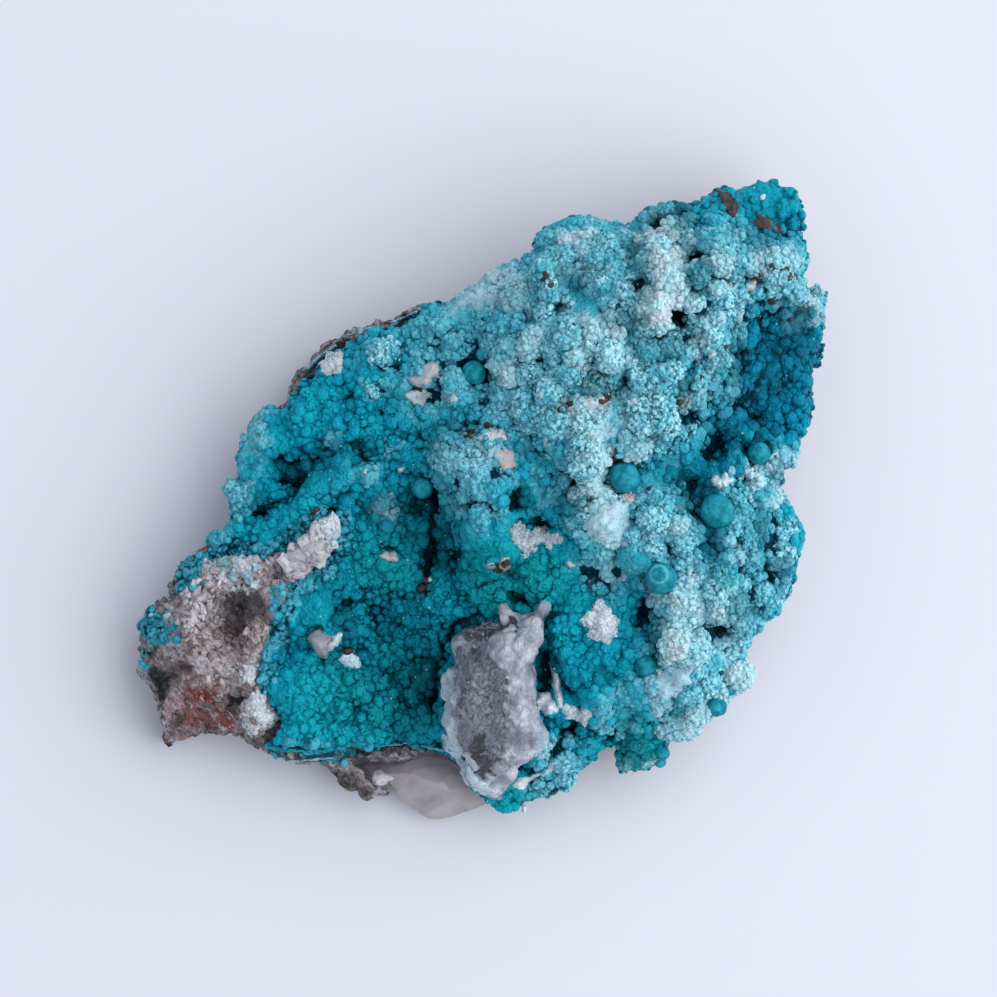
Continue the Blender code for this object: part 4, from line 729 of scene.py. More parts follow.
def weathered_rock(tree, place):
    """Weathered vein rock, part altered: crumbly, mottled grey-pink and brown, with iron stains,
    copper-stained edges and thin pale seams that run level round its sides."""
    level = add(tree, "ShaderNodeMapping", {"Vector": place, "Scale": (0.34, 0.34, 1.2)})
    drawn = add(tree, "ShaderNodeMapping", {
        "Vector": place, "Rotation": (0, 0, 0.4), "Scale": (1.4, 0.45, 1.0),
    })
    blotch, grit, seams, fleck = several(tree, "ShaderNodeTexNoise", NOISE, [
        (place, per_mm(2.2), 6), (place, per_mm(0.6), 6), (level, per_mm(0.9), 5), (drawn, per_mm(0.45), 5),
    ])
    side, tint = (
        add(tree, "ShaderNodeAttribute", out="Fac", attribute_name=name) for name in ("side", "tint")
    )

    # A thin line wherever a noise passes through one value.
    past = several(tree, "ShaderNodeMath", (0, 1), [(seams, 0.55), (grit, 0.47)], operation="SUBTRACT")
    off_seam, off_crack = several(tree, "ShaderNodeMath", [0], zip(past), operation="ABSOLUTE")
    # Hollow is painted shade where the grit's bump lies lowest.
    seam, layer, darker, paler, browner, greyer, speck, crack, hollow, dark_fleck, light_fleck = several(
        tree, "ShaderNodeMapRange", SPAN, [
            (off_seam, 0.028, 0.012), (seams, 0.47, 0.38, 0.75), (tint, 0.5, 1, 0.7), (tint, 0.5, 0, 0.8),
            (blotch, 0.46, 0.62), (blotch, 0.46, 0.36), (grit, 0.54, 0.68, 0.7),
            (off_crack, 0.018, 0.004, 0.8), (grit, 0.42, 0.34, 0.8), (fleck, 0.44, 0.34, 0.7),
            (fleck, 0.55, 0.66, 0.6),
        ]
    )
    seam, layer, duller = several(tree, "ShaderNodeMath", (0, 1), [
        (side, seam), (side, layer), (side, 0.55),
    ], operation="MULTIPLY")
    pale, red, teal, black = (
        ragged_mask(tree, name, grit, *edge) for name, *edge in (
            ("crystalline", 1.4, 0.3, 0.9), ("red", 1.6, 0.35, 1.1), ("teal", 0.8), ("black", 0.9, 0.3, 0.9),
        )
    )
    seam_tone = coated(tree, "#b9c9cd", (blotch, "#2a8c9b"))
    colour = coated(
        tree, "#b5a6aa", (greyer, "#aaaab1"), (browner, "#847370"), (darker, "#5c504e"),
        (paler, "#c4b9be"), (duller, "#6b6569"), (layer, "#332d2d"), (speck, "#cdc5cb"),
        (seam, seam_tone), (red, "#8a443c"), (dark_fleck, "#453a3b"), (pale, "#d0cdd4"),
        (light_fleck, "#d9cfd5"), (teal, "#2fa3b5"), (crack, "#2c2728"), (hollow, "#33292a"),
        (black, "#1d2528"),
    )
    rubble = add(tree, "ShaderNodeMix", {0: 0.3, 2: grit, 3: fleck}, data_type="FLOAT")
    bump = add(tree, "ShaderNodeBump", {"Height": rubble, "Strength": 1.0, "Distance": 0.6 * MM})
    return {"Base Color": colour, "Roughness": 0.72, "Specular IOR Level": 0.25, "Normal": bump}


def milky_quartz(tree, place):
    """Milky quartz and chalcedony druse: sugary white with a blue or pink-beige cast, glassy at the
    points, greyer from crystal to crystal."""
    sugar, broad = several(
        tree, "ShaderNodeTexNoise", NOISE, [(place, per_mm(0.4), 5), (place, per_mm(1.6), 3)]
    )
    warm, cool, tint = (
        add(tree, "ShaderNodeAttribute", out="Fac", attribute_name=name) for name in ("warm", "cool", "tint")
    )
    # Hollow is painted shade where the sugary bump lies lowest.
    greyed, hollow, cloudy = several(tree, "ShaderNodeMapRange", SPAN, [
        (tint, 0.3, 1, 0.24), (sugar, 0.43, 0.33, 0.7), (broad, 0.44, 0.68, 0.5),
    ])
    colour = coated(
        tree, "#e8f2f8", (warm, "#c2adaa"), (cool, "#8ed6e8"), (greyed, "#858087"), (cloudy, "#bac5d2"),
        (hollow, "#8f96a3"),
    )
    bump = add(tree, "ShaderNodeBump", {"Height": sugar, "Strength": 0.9, "Distance": 0.3 * MM})
    return {"Base Color": colour, "Roughness": 0.4, "IOR": 1.54, "Specular IOR Level": 0.4, "Normal": bump}


def smoky_quartz(tree, place):
    """Clear to smoky vein quartz, broken and worn: light passes through it, and its smoke takes a
    little of it on the way, to milky veils inside."""
    veil = add(tree, "ShaderNodeTexNoise", zip(NOISE, (place, per_mm(2.5), 6)))
    veiled = add(tree, "ShaderNodeMapRange", zip(SPAN, (veil, 0.4, 0.65)))
    smoke = add(tree, "ShaderNodeVolumeAbsorption", {"Color": linear("#d4d0d8"), "Density": 30.0})
    feed(tree, tree.nodes["Material Output"], {"Volume": smoke})
    bump = add(tree, "ShaderNodeBump", {"Height": veil, "Strength": 0.4, "Distance": 0.3 * MM})
    return {
        "Base Color": coated(tree, "#ece6e7", (veiled, "#cfc7ca")), "Roughness": 0.2, "IOR": 1.544,
        "Transmission Weight": 0.55, "Normal": bump,
    }


def chalcedony(tree, place):
    """Grey chalcedony: a dark, finely wrinkled core under a smooth lilac-white skin with a pale rim."""
    wrinkle, broad = several(
        tree, "ShaderNodeTexNoise", NOISE, [(place, per_mm(0.55), 8, 1.2), (place, per_mm(2.4), 4)]
    )
    inky, skin, rim = (
        ragged_mask(tree, name, broad, *edge) for name, *edge in (
            ("inky", 0.7, 0.25, 0.8), ("skin", 0.9, 0.2, 0.8), ("rim", 0.6, 0.3, 0.7),
        )
    )
    # Hollow is painted shade where the wrinkles lie lowest.
    silvery, vein, hollow, cloudy, bright = several(tree, "ShaderNodeMapRange", SPAN, [
        (broad, 0.4, 0.62, 0.8, 0.15), (wrinkle, 0.51, 0.66), (wrinkle, 0.48, 0.36, 0.7),
        (broad, 0.58, 0.36), (broad, 0.52, 0.68),
    ])
    vein = add(tree, "ShaderNodeMath", {0: vein, 1: silvery}, operation="MULTIPLY")
    core = coated(tree, "#7f8492", (inky, "#3c3f49"), (vein, "#bfc4d1"), (hollow, "#3b3e49"))
    milky, edging = (
        coated(tree, tone, (cloudy, cloudy_tone), (bright, bright_tone))
        for tone, cloudy_tone, bright_tone in (
            ("#bcc2d0", "#8c919f", "#e2e6ee"), ("#b2c5d1", "#92a7b6", "#d6e4ec"),
        )
    )
    colour = coated(tree, core, (skin, milky), (rim, edging))
    bump = add(tree, "ShaderNodeBump", {"Height": wrinkle, "Strength": 0.9, "Distance": 0.5 * MM})
    return {"Base Color": colour, "Roughness": 0.36, "IOR": 1.54, "Normal": bump}


def malachite(tree, place):
    """Malachite over chrysocolla as a small ball: velvety blue-green, paler where its fine fibres end."""
    nap, broad = several(
        tree, "ShaderNodeTexNoise", NOISE, [(place, per_mm(0.16), 3), (place, per_mm(0.8), 4)]
    )
    pit, patchy = several(tree, "ShaderNodeMapRange", SPAN, [(nap, 0.42, 0.6), (broad, 0.4, 0.65)])
    # Towards the ball's rim, where its surface turns from the view, the colour takes a darker tone: painted
    # shade.
    edge = add(tree, "ShaderNodeLayerWeight", {"Blend": 0.35}, "Facing")
    ring = add(tree, "ShaderNodeAttribute", out="Fac", attribute_name="ring")
    colour = coated(
        tree, "#036a78", (pit, "#0a8496"), (patchy, "#2aa9bd"), (edge, "#0a7c90"), (ring, "#62c4d2")
    )
    bump = add(tree, "ShaderNodeBump", {"Height": nap, "Strength": 0.7, "Distance": 0.08 * MM})
    return {"Base Color": colour, "Roughness": 0.5, "Specular IOR Level": 0.15, "Normal": bump}


def limonite(tree, place):
    """Limonite, rusty iron ore in thin flakes and crumbs: dull dark brown, paler where its crumbly bump
    stands high.
    """
    crumb = add(tree, "ShaderNodeTexNoise", zip(NOISE, (place, per_mm(0.6), 6)))
    pale = add(tree, "ShaderNodeMapRange", zip(SPAN, (crumb, 0.45, 0.65)))
    bump = add(tree, "ShaderNodeBump", {"Height": crumb, "Strength": 0.9, "Distance": 0.4 * MM})
    return {"Base Color": coated(tree, "#2c2424", (pale, "#51453f")), "Roughness": 0.7, "Normal": bump}


def matt_card(tree, place):
    """Matt white card with a faint cool cast."""
    return {"Base Color": linear("#e6e8f2"), "Roughness": 0.9}


CHRYSOCOLLA = finish("chrysocolla", chrysocolla)
WEATHERED_ROCK = finish("weathered_vein_rock", weathered_rock)
MILKY_QUARTZ = finish("milky_quartz_druse", milky_quartz)
SMOKY_QUARTZ = finish("smoky_vein_quartz", smoky_quartz)
CHALCEDONY = finish("grey_chalcedony", chalcedony)
MALACHITE = finish("malachite_ball", malachite)
LIMONITE = finish("limonite", limonite)
MATT_CARD = finish("matt_card", matt_card)

# What grows: its shapes and finish, its spacing and its smallest and largest size in millimetres, its
# tilt and its seed.
GROWTHS = {
    "heads": (HEADS, CHRYSOCOLLA, 1.8, 1.6, 3.6, 0.6, 3),
    "knobs": (KNOBS, CHRYSOCOLLA, 0.74, 0.75, 1.7, 0.6, 4),
    "dusted grains": (GRAINS, CHRYSOCOLLA, 0.46, 0.42, 1.0, 0.6, 5),
    "blue grains": (CRUMBS, CHRYSOCOLLA, 0.5, 0.3, 0.7, 0.6, 7),
    "sparkles": (CRYSTALS, MILKY_QUARTZ, 0.8, 0.1, 0.22, 0.8, 8),
    "matrix crystals": (PLATES, MILKY_QUARTZ, 0.55, 0.9, 2.4, 0.45, 11),
    "matrix chips": (CHIPS, WEATHERED_ROCK, 0.7, 0.4, 1.5, 0.7, 12),
    "rim grains": (CRUMBS, CHRYSOCOLLA, 0.45, 0.4, 1.1, 0.5, 13),
    "run-down knobs": (KNOBS, CHRYSOCOLLA, 0.6, 0.5, 1.3, 0.6, 20),
    "scales": (PLATES, MILKY_QUARTZ, 0.3, 0.35, 0.9, 0.5, 0),
}


# How many points are tried in each square of the spacing.
CROWDING = 2.4


def grown(kind, name, host, cover, girth=1.0, number=0):
    """Small shapes of one kind grown over a host where cover, one number a point, allows, as one
    piece. Girth makes them larger or smaller from point to point, and number changes their seed."""
    shapes, surface, spacing, smallest, largest, tilt, seed = GROWTHS[kind]
    mark(host.data, cover=cover, girth=girth)
    return run_tree(
        placed(name, host.data), GROWTH, spacing=spacing * MM, thickest=CROWDING / (spacing * MM) ** 2,
        smallest=smallest * MM, largest=largest * MM, tilt=tilt, seed=seed + number, shapes=shapes,
        finish=surface,
    )


def dressed(piece, surface):
    """The piece in one finish, shaded smooth."""
    piece.data.materials.clear()
    piece.data.materials.append(surface)
    piece.data.shade_smooth()
    return piece


def kept(slot, piece, *nodes):
    """The piece rides on the one body and may stand for solids, whose parts it hides. The slot is not used.
    """
    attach(piece, "root")
    if nodes:
        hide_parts(*nodes)
    return piece


# ---------------------------------------------------------------- the crust

# No growth stands higher than this, in millimetres.
HIGHEST = 24.6
# The knobs are made as two pieces, parted at this place to the right, and so are the grains, at this
# place downwards.
KNOBS_PARTED = 52
GRAINS_PARTED = 38


def crust_body():
    """The crust's solid, finer and botryoidal, with its painted measures."""
    piece = rounded_copy("chrysocolla_crust", "crust_body", 2)
    mesh = piece.data
    places, up = plan(mesh), facing(mesh)
    steep = np.clip(1.3 - 2 * up, 0, 1)
    smooth = painted(places, SMOOTH) * np.clip(2.4 * up, 0.2, 1)
    shade = painted(places, SHADED, 0.6, 0.8)
    foot = 1 - 0.75 * steep * np.clip((9 - places[:, 2]) / 2, 0, 1)
    headroom = np.clip((HIGHEST - places[:, 2]) / 2, 0.2, 1)
    mark(
        mesh, shade=shade, smooth=smooth, steep=steep, tint=0.5,
        dust=painted(places, DUSTED, 0.6, 1.4) * (1 - 0.5 * shade) * (1 - 0.6 * smooth) * foot,
        frost=painted(places, FROSTED, 0.5, 1.0) * (1 - 0.7 * shade) * foot,
        deep=painted(places, DEEP, 0.5, 1.0), fresh=painted(places, BRIGHTENED, 0.7, 1.4),
        green=painted(places, GREENED, 0.6, 1.0), dark=painted(places, DARK, 0.35, 0.5),
        rust=painted(places, RUST, 0.35, 0.5),
        room=np.clip((up + 0.6) / 0.6, 0.1, 1) * (1 - 0.75 * smooth) * headroom,
    )
    run_tree(
        piece, RELIEF, lump_width=3.0, lump_height=1.5, knob_width=1.2, knob_height=0.6, wander=1.6,
        pit_depth=1.0,
    )
    return kept("chrysocolla", dressed(piece, CHRYSOCOLLA), "chrysocolla_crust")


def standing(places, reach):
    """How far each place stands above the ground around it, or lies below it, in millimetres."""
    cell = 0.4
    # The whole sheet in cells.
    sheet = (260, 260)
    spots = tuple(np.floor(places[:, :2] / cell).astype(int).T)
    total, count = np.zeros(sheet), np.zeros(sheet)
    np.add.at(total, spots, places[:, 2])
    np.add.at(count, spots, 1)
    steps = np.arange(-3 * reach, 3 * reach + cell, cell)
    bell = np.exp(-0.5 * (steps / reach) ** 2)
    for axis in (0, 1):
        total, count = (
            np.apply_along_axis(np.convolve, axis, field, bell, mode="same") for field in (total, count)
        )
    ground = total / np.maximum(count, 1e-6)
    return places[:, 2] - ground[spots]


def crust_growth(body):
    """Cauliflower heads and fused knobs on the crust, and grains of two sizes over them."""
    mesh = body.data
    places, upright = plan(mesh), facing(mesh)
    dust, deep, smooth, dark = reading(mesh, "dust", "deep", "smooth", "dark")
    up = np.clip((upright + 0.25) * 4, 0, 1) * np.clip(HIGHEST - 0.8 - places[:, 2], 0, 1)
    level = 0.4 + 0.6 * np.clip(upright * 2.2, 0, 1)
    open_share = up * (1 - smooth) * (1 - 0.8 * dark)
    headed = np.clip(dust * 2 - 0.4, 0, 1) * (1 - deep)
    pieces = [grown("heads", "crust_heads", body, open_share * headed, level)]
    right_half = places[:, 0] >= KNOBS_PARTED
    for name, half in (("left", ~right_half), ("right", right_half)):
        cover = open_share * (1 - headed) * half
        pieces.append(grown("knobs", f"crust_knobs_{name}", body, cover, level * (1 + 0.2 * deep)))

    # The grains stand on the knobs and heads too, most of all on what stands high.
    host = joined("growth_ground", [body] + pieces)
    mesh = host.data
    places = plan(mesh)
    dust, deep, smooth, dark, steep = reading(mesh, "dust", "deep", "smooth", "dark", "steep")
    dusted = np.clip((dust - 0.22) * 6, 0, 1)
    # How high a point stands over the ground around it, 0 to 1: lower in chance gaps of the dusted crust,
    # and never low on a steep side. The finish darkens what stands low with painted shade and lightens what
    # stands high with painted light.
    between = 0.6 * cloud(places, 1.1, 41) + 0.4 * cloud(places, 2.2, 42)
    stands = 0.56 + 0.25 * standing(places, 1.6) + 0.4 * standing(places, 0.6)
    stands = np.clip(stands - 0.72 * dusted * np.clip((0.475 - between) / 0.1, 0, 1), 0, 1)
    stands = np.maximum(stands, 0.5 * steep)
    start = 0
    for piece in [body] + pieces:
        count = len(piece.data.vertices)
        mark(piece.data, lump=stands[start:start + count])
        start += count
    up = np.clip((facing(mesh) + 0.3) * 4, 0, 1) * np.clip((HIGHEST - places[:, 2]) / 0.5, 0, 1)
    open_share = up * (1 - smooth) * (1 - dark) * (1 - 0.9 * deep)
    raised = np.clip(5 * stands - 1.3, 0.1, 1)
    mark(mesh, lump=stands)
    near_half = places[:, 1] >= GRAINS_PARTED
    for name, half in (("far", ~near_half), ("near", near_half)):
        cover = open_share * dusted * raised * half
        pieces.append(grown("dusted grains", f"dusted_grains_{name}", host, cover))
    pieces.append(grown("blue grains", "blue_grains", host, 0.4 * open_share * (1 - dusted)))
    # Sparse tiny white crystals that stand in for glints: painted glints.
    kept("quartz", grown("sparkles", "quartz_sparkles", host, 0.12 * up))
    bpy.data.objects.remove(host, do_unlink=True)
    return [kept("chrysocolla", piece) for piece in pieces]


# ---------------------------------------------------------------- thin shells laid over the rest

# A height above everything, how far a shell follows the ground up and down from its middle height, and
# how ragged its outline is, in millimetres.
ABOVE_ALL = 60
FOLLOWED = 2.5
RAGGED = 0.7


def top_finder(pieces):
    """A function that gives the height of the topmost surface of the pieces at a plan place."""
    trees = []
    for piece in pieces:
        body = bmesh.new()
        body.from_mesh(piece.data)
        trees.append(BVHTree.FromBMesh(body))
        body.free()

    def top(right, down):
        start = frame_place(right, down, ABOVE_ALL)
        hits = [tree.ray_cast(start, Vector((0, 0, -1)))[0] for tree in trees]
        heights = [hit.z / MM for hit in hits if hit]
        return max(heights) if heights else None

    return top


def inside(loop, place):
    """Whether a plan place lies inside a closed outline."""
    ahead = np.roll(loop, -1, axis=0)
    straddles = (loop[:, 1] > place[1]) != (ahead[:, 1] > place[1])
    rise = ahead[:, 1] - loop[:, 1]
    crossing = loop[:, 0] + (place[1] - loop[:, 1]) * (ahead[:, 0] - loop[:, 0]) / rise
    return bool((straddles & (place[0] < crossing)).sum() % 2)


def smoothed(values, faces):
    """Each value as the mean of its faces' values."""
    total, count = np.zeros(len(values)), np.zeros(len(values))
    for face in faces:
        mean = values[face].mean()
        total[face] += mean
        count[face] += 1
    return total / count


def nearest(places, loop):
    """How far each plan place is from the nearest point of an outline."""
    return np.linalg.norm(places[:, None] - loop[None], axis=2).min(axis=1)


def shell(name, outline, top, thickness, roughness, seed, step, sink=0.7, edge=0.8, calm=2):
    """A thin lumpy shell over what is below it: an outline on the plan, with points a step apart and a
    rounded edge this wide that is sunk into the surface. Calm is how often its ground is smoothed."""
    loop = []
    for (right, down), (next_right, next_down) in zip(outline, outline[1:] + outline[:1]):
        pieces = max(1, round(math.hypot(next_right - right, next_down - down) / step))
        loop += [
            (right + (next_right - right) * share / pieces, down + (next_down - down) * share / pieces)
            for share in range(pieces)
        ]
    loop = np.array(loop)
    noise = sheet_cloud(loop, 0.5, seed) - 0.5
    away = loop - loop.mean(axis=0)
    loop = loop + away / np.linalg.norm(away, axis=1)[:, None] * noise[:, None] * RAGGED

    # A triangle grid inside the outline, at the height of what is below it.
    low, high = loop.min(axis=0), loop.max(axis=0)
    grid = np.array([
        (right + (row % 2) * step / 2, down)
        for row, down in enumerate(np.arange(low[1], high[1], step * 0.87))
        for right in np.arange(low[0], high[0], step)
    ])
    grid = grid[[inside(loop, place) for place in grid]]
    grid = grid[nearest(grid, loop) > 0.5 * step]
    flat = [Vector(place) for place in np.vstack([loop, grid])]
    count = len(loop)
    found = delaunay_2d_cdt(flat, [(i, (i + 1) % count) for i in range(count)], [], 1, 1e-6)
    flat, faces = np.array([tuple(place) for place in found[0]]), found[2]
    ground = [top(*place) for place in flat]
    floor = float(np.median([height for height in ground if height is not None]))
    ground = np.array([floor if height is None else height for height in ground])
    ground = np.clip(ground, floor - FOLLOWED, floor + FOLLOWED)
    for _ in range(calm):
        ground = smoothed(ground, faces)
    depth = nearest(flat, loop)
    lumps = sheet_cloud(flat, 0.8, seed + 9) - 0.5
    lumps += 0.5 * (sheet_cloud(flat, 0.4, seed + 10) - 0.5)
    rise = thickness * np.sqrt(np.clip(depth / edge, 0, 1))
    upper = ground + rise + roughness * lumps * np.clip(depth / (0.5 * edge), 0, 1)

    body = bmesh.new()
    upper_points, lower_points = (
        [body.verts.new(frame_place(*place, height)) for place, height in zip(flat, heights)]
        for heights in (upper, ground - sink)
    )
    for face in faces:
        body.faces.new([upper_points[corner] for corner in face])
        body.faces.new([lower_points[corner] for corner in reversed(face)])
    number = {point: index for index, point in enumerate(upper_points)}
    for border in [side for side in body.edges if side.is_boundary and side.verts[0] in number]:
        first, second = border.verts
        body.faces.new((first, second, lower_points[number[second]], lower_points[number[first]]))
    bmesh.ops.recalc_face_normals(body, faces=body.faces)
    mesh = plain_mesh(name, body)
    mesh.shade_smooth()
    return placed(name, mesh)


# ---------------------------------------------------------------- the rock, the quartz and the nodule

def rock_body():
    """The rock's solid, finer and crumbly, with its painted measures."""
    piece = rounded_copy("host_rock", "rock_body", 2)
    mesh = piece.data
    places = plan(mesh)
    sides = np.clip(1.4 - 2 * np.abs(facing(mesh)), 0, 1)
    spots = 1 - sides * np.clip(2.6 * cloud(array_of(mesh.vertices, "co", 3) / MM, 2.6, 21) - 0.6, 0, 1)
    mark(
        mesh, side=np.maximum(sides, painted(places, LAYERED, 0.4, 0.6)), tint=0.5,
        crystalline=painted(places, CRYSTALLINE, 0.5, 0.8), warm=painted(places, PINKISH, 0.5, 0.8),
        cool=painted(places, BLUISH, 0.5, 0.8), red=painted(places, RED, 0.5, 0.8) * spots,
        teal=painted(places, TEAL_RIM, 0.4, 0.8) * spots, black=painted(places, BLACK, 0.4, 0.6) * spots,
        dark=painted(places, MATRIX_PIT, 0.4, 0.4), room=np.clip((places[:, 2] - 0.6) / 1.5, 0, 1),
    )
    run_tree(
        piece, RELIEF, lump_width=1.7, lump_height=1.1, knob_width=0.8, knob_height=0.7, wander=3.0,
        pit_depth=0.9,
    )
    ledged(piece.data)
    return kept("host_rock", dressed(piece, WEATHERED_ROCK), "host_rock")


def ledged(mesh):
    """Breaks the steep sides into low ledges, as layered rock breaks."""
    points = array_of(mesh.vertices, "co", 3)
    normals = array_of(mesh.vertex_normals, "vector", 3)
    steep = np.clip(1.4 - 2 * np.abs(normals[:, 2]), 0, 1) * np.clip((points[:, 2] / MM - 0.3) / 1.2, 0, 1)
    push = cloud(points / MM * (0.3, 0.3, 1.3), 1.6, 31) - 0.65
    push += 0.6 * (cloud(points / MM * (0.5, 0.5, 2.2), 1.0, 32) - 0.5)
    points = points + normals * (1.3 * MM * push * steep)[:, None]
    points[:, 2] = np.maximum(points[:, 2], 0)
    moved(mesh, points)


def rock_growth(rock):
    """Pale crystals on the bare rock, chips of the rock itself, and blue grains on its stained rim."""
    mesh = rock.data
    places = plan(mesh)
    up = np.clip((facing(mesh) + 0.2) * 4, 0, 1)
    bare = up * (painted(places, BARE_ROCK) > 0.5)
    white, teal, black = reading(mesh, "crystalline", "teal", "black")
    mark(mesh, dust=0.3, lump=0.65, frost=0)
    crystalline = bare * np.clip(1.4 * white - 0.25, 0, 1)
    largest = 0.5 + 0.5 * painted(places, CRYSTALLINE[:1])
    kept("quartz", grown("matrix crystals", "matrix_crystals", rock, crystalline, largest))
    chipped = bare * (1 - teal) * (1 - black) * (1 - painted(places, LAYERED))
    kept("host_rock", grown("matrix chips", "matrix_chips", rock, 0.6 * chipped))
    stained = up * np.clip(1.5 * teal - 0.4, 0, 1)
    kept("chrysocolla", grown("rim grains", "rim_grains", rock, 0.8 * stained))


# Where the crust runs down onto the rock, filling the step between them: half width, line on the plan.
RUN_DOWN = [
    ("run_down_near", 1, [
        (33.6, 56.4), (32, 57.7), (30.4, 58.5), (29.1, 59.6), (28.6, 61.2), (28.1, 63), (27.3, 65),
        (26.7, 67), (26.5, 69.4),
    ]),
    ("run_down_far", 0.8, [
        (20.8, 54.8), (23.6, 55), (26.2, 54.9), (28.6, 54.2), (30.2, 52.4), (32.6, 50.9),
    ]),
    ("run_down_right", 0.6, [(34.3, 51), (34.8, 52.6), (34.5, 54.4), (33.6, 56.2)]),
]
# Thin bright lips and seams along the edges: half width, dust, frost, line on the plan.
LIPS = [
    ("near_lip", 0.22, 0.2, 0, [(26.4, 74.7), (28.4, 75.1), (30.8, 75.2), (33, 75), (34.6, 74.8)]),
    ("near_seam", 0.12, 0.6, 0.3, [(28.4, 76.2), (30, 76.2), (31.6, 76), (33.2, 75.9)]),
    ("near_seam_right", 0.12, 0.4, 0.1, [
        (36.4, 74.9), (38.4, 74.6), (40.4, 74.5), (42.4, 74.7), (44.4, 75.2),
    ]),
    ("far_seam_left", 0.12, 0.5, 0.2, [(30.8, 36.8), (32.1, 35.4), (33.4, 34.6)]),
    ("far_seam_middle", 0.12, 0.6, 0.2, [(34.6, 33.6), (36, 33.1), (37.6, 32.6)]),
    ("far_seam_right", 0.12, 0.7, 0.3, [(39.2, 32.2), (40.6, 31.6), (42, 31)]),
]


def strip(line, half_width):
    """The outline of a strip along a line on the plan."""
    line = np.array(line)
    along = np.gradient(line, axis=0)
    along /= np.linalg.norm(along, axis=1)[:, None]
    across = np.column_stack([-along[:, 1], along[:, 0]]) * half_width
    return [tuple(place) for place in np.vstack([line + across, (line - across)[::-1]])]


def crust_edges(top):
    """Crust that runs down onto the rock, set with knobs, and the smooth lips of its edges."""
    def middling(right, down):
        """The middle height of what lies around a place, across the step from the crust to the rock."""
        turns = [math.radians(turn) for turn in range(0, 360, 45)]
        around = [top(right + 1.1 * math.cos(turn), down + 1.1 * math.sin(turn)) for turn in turns]
        return float(np.median([height for height in around if height is not None]))

    for seed, (name, half_width, line) in enumerate(RUN_DOWN):
        ground = shell(name, strip(line, half_width), middling, 0.3, 1.2, seed, step=0.3, sink=1.5)
        mark(ground.data, crest=0.5, lump=0.55, dust=0.25, tint=0.5, frost=0)
        dressed(ground, CHRYSOCOLLA)
        up = np.clip(facing(ground.data) * 3, 0, 1)
        kept("chrysocolla", grown("run-down knobs", f"{name}_knobs", ground, up, number=seed))
        kept("chrysocolla", ground)
    for seed, (name, half_width, dust, frost, line) in enumerate(LIPS):
        lip = shell(
            name, strip(line, half_width), middling, 0.45, 0.35, seed, step=0.12, sink=0.9, edge=0.12,
            calm=120,
        )
        # Set high on the ramp, the lips take the crust's crest tone of painted light.
        mark(lip.data, crest=0.9, lump=0.9, dust=dust, frost=frost, smooth=1.0)
        kept("chrysocolla", dressed(lip, CHRYSOCOLLA))


def broken(mesh):
    """Breaks a rounded block along flat faces that lean in towards its top, with worn edges between them."""
    points = array_of(mesh.vertices, "co", 3)
    middle = (points.min(axis=0) + points.max(axis=0)) / 2
    chance = random.Random(14)
    for _ in range(16):
        turn, lean = chance.uniform(0, 2 * math.pi), math.radians(chance.uniform(28, 66))
        across = np.array((math.cos(turn) * math.cos(lean), math.sin(turn) * math.cos(lean), math.sin(lean)))
        reach = (points - middle) @ across
        beyond = np.clip(reach - chance.uniform(0.74, 0.9) * reach.max(), 0, None)
        points = points - 0.94 * beyond[:, None] * across
    moved(mesh, points)


def quartz_block():
    """The quartz's solid, finer, softly worn and broken."""
    piece = rounded_copy("quartz_mass", "quartz_block", 3)
    mark(piece.data, room=1)
    run_tree(piece, RELIEF, lump_width=4.5, lump_height=0.5, knob_width=2.2, knob_height=0.25, wander=2.0)
    broken(piece.data)
    return kept("quartz", dressed(piece, SMOKY_QUARTZ), "quartz_mass")


def nodule_body():
    """The nodule's solid, finer, wrinkled in its core and softly lumpy in its skin."""
    piece = rounded_copy("chalcedony_nodule", "nodule_body", 3)
    places = plan(piece.data)
    skin = painted(places, NODULE_SKIN, 0.4, 0.8)
    rim = painted(places, NODULE_PALE_RIM, 0.4, 0.6)
    inky = painted(places, NODULE_INKY, 0.4, 0.6)
    mark(piece.data, rim=rim, skin=skin * (1 - inky), inky=inky, room=0.45 + 0.55 * np.maximum(skin, rim))
    run_tree(piece, RELIEF, lump_width=2.1, lump_height=1.1, knob_width=0.8, knob_height=0.35, wander=1.6)
    return kept("chalcedony", dressed(piece, CHALCEDONY), "chalcedony_nodule")


def ball(name, middle, half, seed):
    """A small round ball with a slightly uneven surface."""
    body = bmesh.new()
    bmesh.ops.create_icosphere(body, subdivisions=5, radius=1)
    points = np.array([point.co for point in body.verts])
    swell = 1 + 0.12 * (cloud(points + seed, 0.6, seed) - 0.5) + 0.07 * (cloud(points, 0.17, seed) - 0.5)
    for point, factor in zip(body.verts, swell):
        point.co = Vector(point.co[axis] * half[axis] * factor for axis in range(3)) + middle
    return dressed(placed(name, plain_mesh(name, body)), MALACHITE)


# How many balls are solids of their own, and the pale growth ring on top of one: the ball's number and
# (right, down, radius).
SOLID_BALLS = 6
RINGED_BALL = 4
GROWTH_RING = (65.8, 57.4, 0.85)


def ball_skin(number):
    """The finished ball that stands for one of the solid ones."""
    low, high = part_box(f"malachite_ball_{number}")
    piece = ball(f"ball_skin_{number}", (low + high) / 2, (high - low) / 2, number)
    if number == RINGED_BALL:
        mesh = piece.data
        away = np.linalg.norm(plan(mesh)[:, :2] - GROWTH_RING[:2], axis=1) - GROWTH_RING[2]
        mark(mesh, ring=0.8 * (facing(mesh) > 0) * np.exp(-(away / 0.12) ** 2))
    kept("malachite", piece, f"malachite_ball_{number}")


# ---------------------------------------------------------------- films, lumps and flakes on the crust

